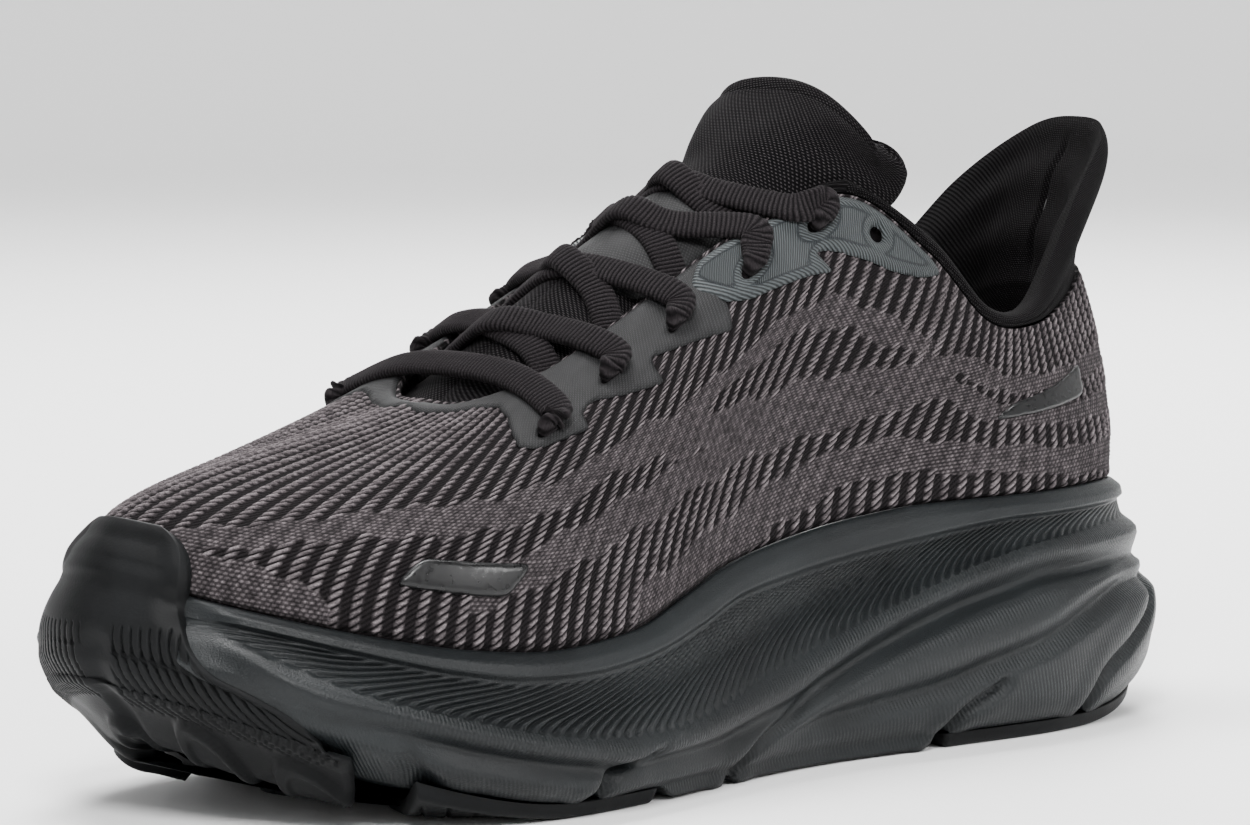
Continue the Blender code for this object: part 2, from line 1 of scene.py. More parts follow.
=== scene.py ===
"""Looks of the running shoe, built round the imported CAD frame.

The shoe's formulas are in millimetres in its design frame: toe at -X, heel at +X, outer
(lateral) side at -Y, up +Z. t runs once round the shoe from the heel along the lateral side
to the toe at 0.5, and v runs up the skin of the upper, from the sole's rim to its top edge.
"""

import math

import bpy
import numpy as np
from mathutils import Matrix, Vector
from mathutils.geometry import delaunay_2d_cdt


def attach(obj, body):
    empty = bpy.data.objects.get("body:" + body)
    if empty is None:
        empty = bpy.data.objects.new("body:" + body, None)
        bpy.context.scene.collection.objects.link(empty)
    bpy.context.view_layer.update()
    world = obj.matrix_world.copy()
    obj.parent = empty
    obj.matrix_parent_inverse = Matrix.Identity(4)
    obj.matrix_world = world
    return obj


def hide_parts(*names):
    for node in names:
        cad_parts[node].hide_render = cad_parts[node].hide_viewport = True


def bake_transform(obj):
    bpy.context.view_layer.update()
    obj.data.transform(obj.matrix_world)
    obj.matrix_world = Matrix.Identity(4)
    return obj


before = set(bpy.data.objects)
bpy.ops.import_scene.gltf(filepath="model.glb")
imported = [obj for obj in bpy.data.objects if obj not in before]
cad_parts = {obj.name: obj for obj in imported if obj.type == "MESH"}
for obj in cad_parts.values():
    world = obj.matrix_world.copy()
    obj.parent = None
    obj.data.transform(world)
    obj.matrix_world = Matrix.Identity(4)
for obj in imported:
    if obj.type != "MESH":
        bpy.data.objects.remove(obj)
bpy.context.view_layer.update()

MM = 0.001
GAP = 0.35
CENTRE_X, CENTRE_Y = 6.0, -1.7
UP = np.array([0.0, 0.0, 1.0])

# ---------------------------------------------------------------- the shoe's dimensions

HEEL_POINT = (155.5, -1.0)
TOE_POINT = (-143.5, 12.0)
OUTLINE = [
    (149, -24, 21), (130, -41, 36), (99, -49, 45), (63, -47.5, 43.5), (28, -45.5, 40.5),
    (-2, -49, 41.5), (-32, -55.5, 47), (-60, -58, 53), (-84, -55, 54.5),
    (-105, -46, 51), (-122, -32, 44), (-135.5, -13, 33.5),
]
RIM_HEIGHT = [
    (-144, 51.5), (-128, 46), (-110, 41.3), (-83, 36.6), (-62, 35), (-38, 36.6),
    (-19, 42.1), (-1, 47.8), (14, 50.6), (39, 54), (58, 55.3), (120, 55.3), (155, 53.5),
]
RIM_INSET = [(-144, 8), (-60, 8), (0, 7), (80, 7.5), (120, 9), (156, 11.5)]
TOE_SPRING, TOE_SPRING_FROM = 22.0, -52.0
EDGE_LIFT, EDGE_LIFT_FROM = 12.0, -55.0
HEEL_BEVEL, HEEL_BEVEL_FROM = 7.0, 108.0
FOOTBED = [(-150, 30), (-120, 27), (-60, 25), (0, 28), (60, 32), (156, 33)]
LEDGE = 4.4
PAD_THICKNESS = 3.2
TOP_EDGE = [
    (138, 0, 106), (133, 15, 104), (119, 24.5, 98), (101, 32, 93.5), (82, 35, 95.5),
    (65, 32.5, 112), (47, 24.5, 125.5), (18, 21.5, 119), (-3, 20.5, 109),
    (-21.5, 21, 99.8), (-36.5, 20.5, 92.5), (-47.5, 17.5, 87.6), (-54.5, 10, 84.6),
    (-57, 0.5, 84.8),
]
LOW_HANDLE = [
    (2, 20), (2, 19), (2, 17), (2, 15), (2, 16), (2, 24), (2, 30), (2, 32), (2.5, 30),
    (3, 27), (3, 24), (3, 22), (3, 21), (3, 20),
]
HIGH_HANDLE = [
    (0, 7, 18), (0, 6, 17), (0, 4, 15), (0.2, 2, 13), (0.25, 2, 15), (0.3, 3, 24),
    (0.34, 7, 27), (0.38, 10, 26), (0.40, 10, 24), (0.40, 8, 20.5), (0.41, 6, 17),
    (0.42, 4, 14), (0.44, 2, 12.5), (0.45, 0, 11.5),
]
KNIT = 1.7
CREST = [
    (148, 0, 139.2), (144.5, 12, 136.5), (127, 20.5, 123.5), (103, 28, 100),
    (84, 31, 98.9), (67.8, 28.5, 115.2), (48.5, 21, 129),
]
COLLAR_END = 6 / 26
LINING_TOP = 0.93
EYELETS = [(0.354, 0.68), (0.332, 0.80), (0.300, 0.85), (0.265, 0.88), (0.241, 0.93)]
SPARE_EYELET = (0.216, 0.93)
LACE_OVER_EDGE = [0.412, 0.360, 0.315, 0.268, 0.252]
LACE_UNDER_EDGE = [0.391, 0.345, 0.304, 0.266]
FRONT_BAR = (-47.0, 0.0, 91.5)
THROAT_DEPTH = 6.6
TONGUE_LINE = [
    (-72, 73), (-56, 81), (-34, 97.5), (-12, 111.5), (8, 122.5), (22, 130), (33, 138),
    (42, 146), (49, 151.5),
]
TONGUE_COVERED = [0.462, 0.425, 0.375, 0.325, 0.285, 0.258]
TONGUE_WING = [
    [(38, 18.5, 136), (64, 23.2, 121.8)], [(44.5, 19, 144), (57.5, 27.5, 132)],
    [(49.8, 13, 149.3), (53, 23, 141.5)],
]
HINGE_W = 0.655


# ---------------------------------------------------------------- curves and formulas

def table(knots, x):
    """Smooth curve through the knots, without overshoot."""
    knots = np.asarray(knots, float)
    kx, ky = knots[:, 0], knots[:, 1]
    x = np.clip(np.asarray(x, float), kx[0], kx[-1])
    step = np.diff(kx)
    rise = np.diff(ky) / step
    same = rise[:-1] * rise[1:] > 0
    slope = np.zeros(len(kx))
    slope[1:-1] = np.where(same, 2 * rise[:-1] * rise[1:] / (rise[:-1] + rise[1:] + 1e-12), 0)
    slope[0], slope[-1] = rise[0], rise[-1]
    i = np.clip(np.searchsorted(kx, x) - 1, 0, len(kx) - 2)
    t = (x - kx[i]) / step[i]
    return ((2 * t**3 - 3 * t**2 + 1) * ky[i] + (t**3 - 2 * t**2 + t) * step[i] * slope[i]
            + (3 * t**2 - 2 * t**3) * ky[i + 1] + (t**3 - t**2) * step[i] * slope[i + 1])


def cardinal(p0, p1, p2, p3, t):
    """One span of a Catmull-Rom curve."""
    t = t[..., None]
    return 0.5 * (2 * p1 + (p2 - p0) * t + (2 * p0 - 5 * p1 + 4 * p2 - p3) * t**2
                  + (3 * p1 - p0 - 3 * p2 + p3) * t**3)


def around(points, t):
    """Closed smooth curve through points, t from 0 to 1 once round."""
    points = np.asarray(points, float)
    n = len(points)
    u = (np.asarray(t, float) % 1.0) * n
    i = np.floor(u).astype(int)
    return cardinal(points[(i - 1) % n], points[i % n], points[(i + 1) % n],
                    points[(i + 2) % n], u - i)


def along(points, t):
    """Open smooth curve through points, t from 0 to 1."""
    points = np.asarray(points, float)
    padded = np.vstack([2 * points[0] - points[1], points, 2 * points[-1] - points[-2]])
    u = np.clip(np.asarray(t, float), 0, 1) * (len(points) - 1)
    i = np.minimum(np.floor(u).astype(int), len(points) - 2)
    return cardinal(padded[i], padded[i + 1], padded[i + 2], padded[i + 3], u - i)


def ramp(low, high, x):
    """0 below low, 1 above high, smooth between."""
    s = np.clip((np.asarray(x, float) - low) / (high - low), 0, 1)
    return s * s * (3 - 2 * s)


def bump(x, width):
    """1 at 0, falling smoothly to 0 at plus and minus width."""
    return ramp(width, 0, np.abs(x))


def unit(v):
    """Vectors of length 1."""
    return v / np.maximum(np.linalg.norm(v, axis=-1), 1e-12)[..., None]


def mirrored(half, flip_y):
    """Stations for the whole way round from heel-to-toe ones for one side."""
    half = np.asarray(half, float)
    back = half[-2:0:-1].copy()
    if flip_y:
        half = half * [1, -1, 1]
    return np.vstack([half, back])


def outline(t):
    """The sole's outline, seen from above."""
    lateral = [(x, low) for x, low, _ in OUTLINE]
    medial = [(x, high) for x, _, high in reversed(OUTLINE)]
    return around([HEEL_POINT, *lateral, TOE_POINT, *medial], t)


def outward(t):
    """Level direction pointing out of the outline."""
    step = 0.004
    run = outline(np.asarray(t) + step) - outline(np.asarray(t) - step)
    return unit(np.stack([-run[..., 1], run[..., 0]], -1))


def level_out(t):
    """outward() as a direction in space."""
    t = np.asarray(t, float)
    return np.concatenate([outward(t), np.zeros(t.shape + (1,))], -1)


def from_heel(t):
    """t counted from the heel to the toe, the same on both sides."""
    return 0.5 - np.abs((t % 1.0) - 0.5)


def sole_point(t, inset, z):
    """Point at a distance inside the outline, at height z."""
    flat = outline(t) - outward(t) * np.asarray(inset)[..., None]
    return np.concatenate([flat, np.broadcast_to(z, flat.shape[:-1])[..., None]], -1)


def ground(x):
    """Height of the sole's underside along its middle."""
    toe = np.clip((TOE_SPRING_FROM - x) / 100, 0, None) ** 2.6
    heel = np.clip((x - HEEL_BEVEL_FROM) / 48, 0, None) ** 1.7
    return TOE_SPRING * toe + HEEL_BEVEL * heel


def underside(x, inset):
    """Height of the underside: its edge lifts towards the toe."""
    edge = ramp(20, 4, inset) * ramp(0, 85, EDGE_LIFT_FROM - x)
    return ground(x) + EDGE_LIFT * edge


def rim(t):
    """Height and inset of the sole's rim."""
    x = outline(t)[..., 0]
    return table(RIM_HEIGHT, x), table(RIM_INSET, x)


def bezier(p0, p1, p2, p3, u):
    """A cubic curve between p0 and p3."""
    return ((1 - u)**3 * p0 + 3 * (1 - u)**2 * u * p1 + 3 * (1 - u) * u**2 * p2 + u**3 * p3)


def skin(t, v):
    """Outer face of the upper: t once round from the heel, v from the rim to the top."""
    t, v = np.broadcast_arrays(np.asarray(t, float), np.asarray(v, float))
    height, inset = rim(t)
    start = sole_point(t, inset + 1.2, height + GAP)
    end = around(mirrored(TOP_EDGE, True), t)
    low = around(mirrored(LOW_HANDLE, False), t)
    high = around(mirrored(HIGH_HANDLE, False), t)
    out = level_out(t)
    first = start + out * low[..., :1] + UP * low[..., 1:]
    toward = (start - end) * [1, 1, 0]
    second = end + toward * high[..., :1] + out * high[..., 1:2] - UP * high[..., 2:]
    return bezier(start, first, second, end, v[..., None])


def skin_normal(t, v):
    """Outward normal of the skin."""
    t, v = np.broadcast_arrays(np.asarray(t, float), np.asarray(v, float))
    e = 0.004
    along_t = skin(t + e, v) - skin(t - e, v)
    along_v = skin(t, np.minimum(v + e, 1)) - skin(t, np.maximum(v - e, 0))
    return unit(np.cross(along_v, along_t))


def layer(t, v, depth):
    """Point of a layer: depth is measured outwards from the skin."""
    t, v = np.broadcast_arrays(np.asarray(t, float), np.asarray(v, float))
    return skin(t, v) + skin_normal(t, v) * np.broadcast_to(depth, t.shape)[..., None]


def crest(t):
    """Highest line of the collar, for t between plus and minus COLLAR_END."""
    half = np.asarray(CREST, float)
    points = np.vstack([half[:0:-1], half * [1, -1, 1]])
    return along(points, (np.asarray(t) + COLLAR_END) / (2 * COLLAR_END))


def padding(t, v):
    """How far the lining lies inside the skin."""
    fullness = table([(0, 5.6), (0.2, 6.2), (0.6, 8.2), (1, 8.6)], v)
    thin = 1 - 0.42 * ramp(0.10, COLLAR_END, np.abs(t))
    return 4.9 + (fullness - 4.9) * thin


def cover_surface(t, rows_out=5, rows_in=5, rows_down=4):
    """Visible face of the collar cover: up from the knit, over the crest, down inside."""
    t = np.asarray(t, float)
    edge, top = skin(t, 1.0 + 0 * t), crest(t)
    normal = layer(t, 1.0 + 0 * t, 1.0) - edge
    run = unit(np.cross(skin(t + 0.004, 1.0 + 0 * t) - skin(t - 0.004, 1.0 + 0 * t), normal))
    bottom = edge + run * 0.6
    out = level_out(t)
    tall = np.linalg.norm(top - bottom, axis=-1)[:, None]
    inner = layer(t, LINING_TOP, -padding(t, LINING_TOP + 0 * t))
    drop = np.linalg.norm(top - inner, axis=-1)[:, None]
    outer_side = [bottom, bottom + run * 0.3 * tall,
                  top + out * (1.6 + 0.12 * tall) - UP * 0.24 * tall, top]
    inner_side = [top, top - out * (1.9 + 0.09 * tall) - UP * 0.20 * drop,
                  inner + UP * 0.38 * drop, inner]
    rows = [bezier(*outer_side, u) for u in np.linspace(0, 1, rows_out)]
    rows += [bezier(*inner_side, u) for u in np.linspace(0, 1, rows_in + 1)[1:]]
    for v in np.linspace(LINING_TOP, 0.04, rows_down + 1)[1:]:
        rows.append(layer(t, v, -padding(t, v + 0 * t)))
    return np.array(rows)


def grid_normal(grid):
    """Normals of a grid of points (rows, columns), along rows x columns."""
    return unit(np.cross(np.gradient(grid, axis=0), np.gradient(grid, axis=1)))


def offset(grid, depth):
    """The grid moved along its normals."""
    return grid + grid_normal(grid) * np.broadcast_to(depth, grid.shape[:2])[..., None]


def tongue_net():
    """Points across the tongue at each of its stations: edge, side, middle, side, edge."""
    rows = []
    for k, (x, z) in enumerate(TONGUE_LINE):
        if k < len(TONGUE_COVERED):
            t = np.array([TONGUE_COVERED[k]])
            side = layer(t, 0.99, -THROAT_DEPTH)[0]
            edge = layer(t, 0.90, -THROAT_DEPTH - 0.4)[0]
            side, edge = side * [1, -1, 1], edge * [1, -1, 1]
        else:
            side, edge = (np.array(p, float) for p in TONGUE_WING[k - len(TONGUE_COVERED)])
        flip = [1, -1, 1]
        rows.append([edge * flip, side * flip, (x, 0.0, z), side, edge])
    return np.array(rows, float)


def tongue_surface(w, u):
    """Front face of the tongue: w from its hidden end to its top, u from -1 to 1 across."""
    net = tongue_net()
    strips = np.array([along(net[:, j], w) for j in range(net.shape[1])])
    return np.array([along(strips[:, i], (np.asarray(u) + 1) / 2) for i in range(len(w))])


def length_along(points):
    """Distance along a polyline from its first point, or up each column of a grid."""
    gone = np.cumsum(np.linalg.norm(np.diff(points, axis=0), axis=-1), axis=0)
    return np.concatenate([np.zeros((1,) + gone.shape[1:]), gone])


# ---------------------------------------------------------------- meshes

def metres(points):
    """The design frame's millimetres as the CAD frame's metres."""
    return (np.asarray(points, float) - [CENTRE_X, CENTRE_Y, 0]) * MM


def piece(name, points, faces, finish, stands_for=(), uv=None, values=None, normals=None):
    """A mesh of the shoe. uv is in millimetres, and values are point attributes."""
    mesh = bpy.data.meshes.new(name)
    mesh.from_pydata(metres(points).tolist(), [], [list(f) for f in faces])
    mesh.update()
    mesh.shade_smooth()
    corner = np.empty(len(mesh.loops), int)
    mesh.loops.foreach_get("vertex_index", corner)
    if uv is None:
        uv = np.asarray(points, float)[:, :2]
    layer_uv = mesh.uv_layers.new(name="UVmm")
    layer_uv.data.foreach_set("uv", np.asarray(uv, float)[corner].ravel())
    for key, value in (values or {}).items():
        attribute = mesh.attributes.new(key, "FLOAT", "POINT")
        attribute.data.foreach_set("value", np.asarray(value, np.float32).ravel())
    if normals is not None:
        mesh.normals_split_custom_set_from_vertices(np.asarray(normals, float).tolist())
    made = bpy.data.objects.new(name, mesh)
    bpy.context.scene.collection.objects.link(made)
    made.data.materials.append(finish)
    if stands_for:
        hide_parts(*stands_for)
    return made


def quads(rows, columns, first=0, flip=False):
    """Faces of a grid of points."""
    i, j = np.meshgrid(np.arange(rows - 1), np.arange(columns - 1), indexing="ij")
    a = first + i * columns + j
    made = np.stack([a, a + 1, a + columns + 1, a + columns], -1).reshape(-1, 4)
    return made[:, ::-1] if flip else made


def facing_out(faces, grid, normal, row, column):
    """The faces of a grid, turned over if the one at row and column faces inwards."""
    corner = grid[row, column]
    probe = np.cross(grid[row, column + 1] - corner, grid[row + 1, column] - corner)
    return faces[:, ::-1] if np.dot(probe, normal[row, column]) < 0 else faces


def shell(outer, inner, step):
    """Points and faces of a closed shell: a fine outer grid over an inner one that is
    step times coarser, joined round the border."""
    rows, columns = outer.shape[:2]
    r, c = inner.shape[:2]
    first = rows * columns
    fine = np.arange(first).reshape(rows, columns)
    coarse = first + np.arange(r * c).reshape(r, c)
    faces = quads(rows, columns).tolist() + quads(r, c, first, True).tolist()
    sides = [(fine[0], coarse[0]), (fine[:, -1], coarse[:, -1]),
             (fine[-1, ::-1], coarse[-1, ::-1]), (fine[::-1, 0], coarse[::-1, 0])]
    middle = step // 2
    for edge, far in sides:
        for j in range(len(far) - 1):
            for i in range(step):
                a = j * step + i
                faces.append((edge[a + 1], edge[a], far[j] if i < middle else far[j + 1]))
            faces.append((edge[j * step + middle], far[j], far[j + 1]))
    points = np.vstack([outer.reshape(-1, 3), inner.reshape(-1, 3)])
    across = np.cross(outer[1, 1] - outer[1, 0], outer[2, 0] - outer[1, 0])
    if np.dot(across, outer[1, 1] - inner[0, 0]) < 0:
        faces = [f[::-1] for f in faces]
    return points, faces


def with_inner(value, inner_count):
    """A value for each outer point, and zero for the inner ones."""
    return np.concatenate([value, np.zeros((inner_count,) + value.shape[1:])])


def inside(points, polygon):
    """Which points lie in a closed polygon."""
    points, polygon = np.asarray(points, float), np.asarray(polygon, float)
    x, y = points[..., 0], points[..., 1]
    found = np.zeros(x.shape, bool)
    for (x0, y0), (x1, y1) in zip(polygon, np.roll(polygon, -1, 0)):
        if y0 == y1:
            continue
        crosses = (y0 > y) != (y1 > y)
        found ^= crosses & (x < (x1 - x0) * (y - y0) / (y1 - y0) + x0)
    return found


def distance_to(points, polygon):
    """Distance from points to a closed polygon's edge."""
    best = np.full(points.shape[:-1], 1e9)
    for a, b in zip(polygon, np.roll(polygon, -1, 0)):
        run = b - a
        s = np.clip(((points - a) @ run) / max(run @ run, 1e-12), 0, 1)
        best = np.minimum(best, np.linalg.norm(points - a - s[..., None] * run, axis=-1))
    return best


FLAT_T, FLAT_V = 600.0, 88.0    # millimetres round and up the skin, for flat outlines
CLEAR_OF_BORDER = 0.45          # from a patch's inner points to its border
SUNK = 0.1                      # how far a patch's back lies in the skin


def rounded(corners, radius=1.6):
    """A closed outline with its corners rounded, from places (t, v) on the skin."""
    flat = np.asarray(corners, float) * [FLAT_T, FLAT_V]
    made = []
    for before, here, after in zip(np.roll(flat, 1, 0), flat, np.roll(flat, -1, 0)):
        a, b = before - here, after - here
        la, lb = np.linalg.norm(a), np.linalg.norm(b)
        start = here + a / la * min(radius, la / 2.2)
        end = here + b / lb * min(radius, lb / 2.2)
        for s in np.linspace(0, 1, 5):
            made.append((1 - s)**2 * start + 2 * s * (1 - s) * here + s**2 * end)
    made = np.array(made)
    long = [made[0]]
    for a, b in zip(made, np.roll(made, -1, 0)):
        n = max(1, int(np.linalg.norm(b - a) / 1.2))
        long += [a + (b - a) * k / n for k in range(1, n + 1)]
    return np.array(long[:-1])


def circle(place, radius):
    """A round hole's outline at a place (t, v)."""
    angle = np.linspace(0, 2 * math.pi, 20, endpoint=False)
    ring = radius * np.stack([np.cos(angle), np.sin(angle)], -1)
    return np.array(place) * [FLAT_T, FLAT_V] + ring


def patch(name, outline_flat, holes, top, finish, stands_for, side=1, taper=1.0, base=0.1):
    """A thin piece with any outline laid on the skin, top thick, thinning over taper to base
    at its border and round its holes. side is 1 on the lateral side and -1 on the medial."""
    low, high = outline_flat.min(0), outline_flat.max(0)
    gx, gy = np.meshgrid(np.arange(low[0], high[0]), np.arange(low[1], high[1]))
    inner = np.stack([gx, gy], -1).reshape(-1, 2)
    inner = inner[inside(inner, outline_flat)]
    loops = [outline_flat, *holes]
    gap = np.min([distance_to(inner, loop) for loop in loops], axis=0)
    keep = gap > CLEAR_OF_BORDER
    for hole in holes:
        keep &= ~inside(inner, hole)
    inner = inner[keep]
    points, edges = [], []
    for loop in loops:
        first = len(points)
        points += loop.tolist()
        edges += [(first + k, first + (k + 1) % len(loop)) for k in range(len(loop))]
    points += inner.tolist()
    found, _, faces, *_ = delaunay_2d_cdt([Vector(p) for p in points], edges, [], 0, 1e-4)
    flat = np.array([tuple(p) for p in found])
    faces = np.array([f for f in faces if len(f) == 3])
    centre = flat[faces].mean(1)
    good = inside(centre, outline_flat)
    for hole in holes:
        good &= ~inside(centre, hole)
    faces = faces[good]
    gap = np.min([distance_to(flat, loop) for loop in loops], axis=0)
    height = base + top * np.sqrt(np.clip(gap / taper, 0, 1))
    t, v = side * flat[:, 0] / FLAT_T, flat[:, 1] / FLAT_V
    upper, lower = layer(t, v, height), layer(t, v, -SUNK + 0 * t)
    count = len(flat)
    used = {}
    for a, b, c in faces:
        for e in ((a, b), (b, c), (c, a)):
            used[e] = used.get(e, 0) + 1
    border = [e for e in used if (e[1], e[0]) not in used]
    every = [tuple(f) for f in faces] + [tuple(f[::-1] + count) for f in faces]
    every += [(b, a, a + count, b + count) for a, b in border]
    if side > 0:
        every = [f[::-1] for f in every]
    return piece(name, np.vstack([upper, lower]), every, finish, stands_for,
                 uv=np.vstack([flat, flat]), values={"edge": np.r_[gap, gap * 0]})


# ---------------------------------------------------------------- materials

def make_material(name, colour, roughness, **constants):
    """A Principled material with constant inputs."""
    made = bpy.data.materials.new(name)
    made.use_nodes = True
    made.diffuse_color = (*colour, 1)
    shader = made.node_tree.nodes["Principled BSDF"]
    shader.inputs["Base Color"].default_value = (*colour, 1)
    shader.inputs["Roughness"].default_value = roughness
    for key, value in constants.items():
        shader.inputs[key.replace("_", " ")].default_value = value
    return made


class Graph:
    """Short names for a material's nodes."""

    def __init__(self, material):
        self.tree = material.node_tree
        self.shader = self.tree.nodes["Principled BSDF"]

    def node(self, kind, inputs=None, **settings):
        made = self.tree.nodes.new(kind)
        for key, value in settings.items():
            setattr(made, key, value)
        for key, value in (inputs or {}).items():
            if isinstance(value, bpy.types.NodeSocket):
                self.tree.links.new(value, made.inputs[key])
            else:
                made.inputs[key].default_value = value
        return made

    def uv(self, scale=(1, 1, 1), turn=0.0):
        source = self.node("ShaderNodeUVMap", uv_map="UVmm").outputs[0]
        return self.node("ShaderNodeMapping", {"Vector": source, "Scale": scale,
                                               "Rotation": (0, 0, turn)}).outputs[0]

    def place(self, scale):
        source = self.node("ShaderNodeTexCoord").outputs["Object"]
        return self.node("ShaderNodeMapping", {"Vector": source, "Scale": (scale,) * 3}).outputs[0]

    def noise(self, vector, scale, detail=2.0):
        return self.node("ShaderNodeTexNoise", {"Vector": vector, "Scale": scale,
                                                "Detail": detail}).outputs[0]

    def wave(self, vector, period):
        """Stripes across the vector's x, a period apart."""
        return self.node("ShaderNodeTexWave", {"Vector": vector,
                                               "Scale": 0.1 * math.pi / period}).outputs["Fac"]

    def math(self, operation, a, b=0.0):
        return self.node("ShaderNodeMath", {0: a, 1: b}, operation=operation).outputs[0]

    def value(self, name):
        return self.node("ShaderNodeAttribute", attribute_name=name).outputs["Fac"]

    def ramp(self, value, low, high, a=0.0, b=1.0):
        return self.node("ShaderNodeMapRange", {"Value": value, 1: low, 2: high, 3: a, 4: b},
                         interpolation_type="SMOOTHSTEP").outputs[0]

    def mix(self, factor, a, b):
        made = self.node("ShaderNodeMix", data_type="RGBA")
        for socket, value in ((made.inputs[0], factor), (made.inputs[6], a), (made.inputs[7], b)):
            if isinstance(value, bpy.types.NodeSocket):
                self.tree.links.new(value, socket)
            elif isinstance(value, tuple):
                socket.default_value = (*value, 1)
            else:
                socket.default_value = value
        return made.outputs[2]

    def colour(self, socket):
        self.tree.links.new(socket, self.shader.inputs["Base Color"])

    def roughness(self, socket):
        self.tree.links.new(socket, self.shader.inputs["Roughness"])

    def bump(self, height, distance, strength=1.0):
        made = self.node("ShaderNodeBump", {"Height": height, "Distance": distance * MM,
                                            "Strength": strength}).outputs[0]
        self.tree.links.new(made, self.shader.inputs["Normal"])


DARK_YARN, LIGHT_YARN = (0.0020, 0.0017, 0.0019), (0.205, 0.178, 0.186)


def knit_material():
    made = make_material("knit_yarn", (0.045, 0.04, 0.041), 0.82, Sheen_Weight=0.015,
                         Sheen_Roughness=0.5, Specular_IOR_Level=0.03)
    g = Graph(made)
    uv = g.uv()
    fibre = g.noise(uv, 3.2, 3)
    fleck = g.noise(uv, 0.9, 1)
    # The light attribute holds the yarn pattern, with painted shade along the knit's bottom edge and
    # in the eyelet holes.
    light = g.math("MULTIPLY", g.value("light"), g.ramp(fibre, 0.25, 0.75, 0.55, 1.25))
    base = g.mix(light, DARK_YARN, LIGHT_YARN)
    g.colour(g.mix(g.ramp(fleck, 0.3, 0.7, 0.0, 0.35), base, (0.008, 0.007, 0.0075)))
    g.bump(fibre, 0.22, 0.9)
    return made


def woven_material(name, dark, light, period):
    """A fine knitted or woven cloth: two crossing ribs, period millimetres apart."""
    made = make_material(name, dark, 0.9, Sheen_Weight=0.015, Sheen_Roughness=0.45,
                         Specular_IOR_Level=0.03)
    g = Graph(made)
    a = g.wave(g.uv(turn=0.5), period)
    b = g.wave(g.uv(turn=1.7), 0.8 * period)
    fuzz = g.noise(g.uv(), 1.9 / period, 3)
    height = g.math("ADD", g.math("MULTIPLY", a, b), g.math("MULTIPLY", fuzz, 0.6))
    g.colour(g.mix(g.ramp(height, 0.5, 1.35), dark, light))
    g.bump(height, 0.3)
    return made


def foam_material():
    made = make_material("moulded_foam", (0.014, 0.016, 0.017), 0.42, Specular_IOR_Level=0.2)
    g = Graph(made)
    grain = g.noise(g.place(1000), 2.4, 3)
    broad = g.noise(g.place(1000), 0.035, 2)
    lines = g.wave(g.uv(turn=0.35), 1.0)
    ribs = g.wave(g.uv(), 0.92)
    fine = g.math("MULTIPLY", lines, g.math("MULTIPLY", g.value("lined"), 0.3))
    rib = g.math("MULTIPLY", ribs, g.math("MULTIPLY", g.value("ribbed"), 0.4))
    height = g.math("ADD", g.math("MULTIPLY", grain, 0.55), g.math("ADD", fine, rib))
    g.colour(g.mix(g.ramp(broad, 0.3, 0.7), (0.0050, 0.0060, 0.0066), (0.0085, 0.0102, 0.0110)))
    g.roughness(g.ramp(grain, 0.3, 0.7, 0.34, 0.5))
    g.bump(height, 0.28, 0.9)
    return made


def rubber_material():
    made = make_material("moulded_rubber", (0.004, 0.0042, 0.0045), 0.5, Specular_IOR_Level=0.1)
    g = Graph(made)
    grain = g.noise(g.place(1000), 1.6, 3)
    broad = g.noise(g.place(1000), 0.06, 2)
    g.colour(g.mix(g.ramp(broad, 0.3, 0.7), (0.0030, 0.0032, 0.0034), (0.0052, 0.0056, 0.0060)))
    g.roughness(g.ramp(broad, 0.3, 0.7, 0.48, 0.62))
    g.bump(grain, 0.1, 0.6)
    return made


def film_material():
    made = make_material("fused_film", (0.03, 0.03, 0.031), 0.6, Specular_IOR_Level=0.12)
    g = Graph(made)
    weave = g.math("MULTIPLY", g.wave(g.uv(turn=0.5), 0.75), g.wave(g.uv(turn=2.0), 0.75))
    broad = g.noise(g.uv(), 0.12, 2)
    g.colour(g.mix(g.ramp(g.math("ADD", weave, broad), 0.3, 1.3),
                   (0.009, 0.009, 0.0093), (0.022, 0.022, 0.0227)))
    g.bump(weave, 0.1, 0.8)
    return made


def embroidery_material():
    made = make_material("satin_embroidery", (0.08, 0.10, 0.11), 0.5, Sheen_Weight=0.03,
                         Specular_IOR_Level=0.15)
    g = Graph(made)
    rows = g.wave(g.uv(turn=0.15), 0.5)
    border = g.wave(g.uv(turn=1.0), 0.6)
    near = g.ramp(g.value("edge"), 2.4, 2.6, 1, 0)
    grey = [g.node("ShaderNodeCombineColor", {0: thread, 1: thread, 2: thread}).outputs[0]
            for thread in (rows, border)]
    thread = g.mix(near, *grey)
    seam = g.math("MULTIPLY", g.ramp(g.value("edge"), 2.1, 2.5), g.ramp(g.value("edge"), 3.1, 2.7))
    lit = g.mix(thread, (0.011, 0.0125, 0.013), (0.060, 0.068, 0.071))
    g.colour(g.mix(seam, lit, (0.012, 0.015, 0.017)))
    g.bump(g.node("ShaderNodeRGBToBW", {0: thread}).outputs[0], 0.28, 1.0)
    return made


def lace_material():
    made = make_material("lace_braid", (0.02, 0.018, 0.019), 0.8, Sheen_Weight=0.015,
                         Sheen_Roughness=0.5, Specular_IOR_Level=0.03)
    g = Graph(made)
    fibre = g.noise(g.uv((1, 1.6, 1)), 2.2, 3)
    # The light attribute is the lace's rib profile: painted highlight on the rib crests and painted
    # shade between them, mixed with random fibre tone.
    light = g.math("MULTIPLY", g.value("light"), g.ramp(fibre, 0.25, 0.75, 0.4, 1.3))
    g.colour(g.mix(light, (0.0014, 0.0012, 0.0014), (0.021, 0.0182, 0.0196)))
    g.bump(fibre, 0.25)
    return made


def gloss_material():
    made = make_material("raised_gloss", (0.003, 0.003, 0.0033), 0.32, Specular_IOR_Level=0.3)
    g = Graph(made)
    g.roughness(g.ramp(g.noise(g.place(1000), 0.7, 2), 0.3, 0.7, 0.26, 0.42))
    return made


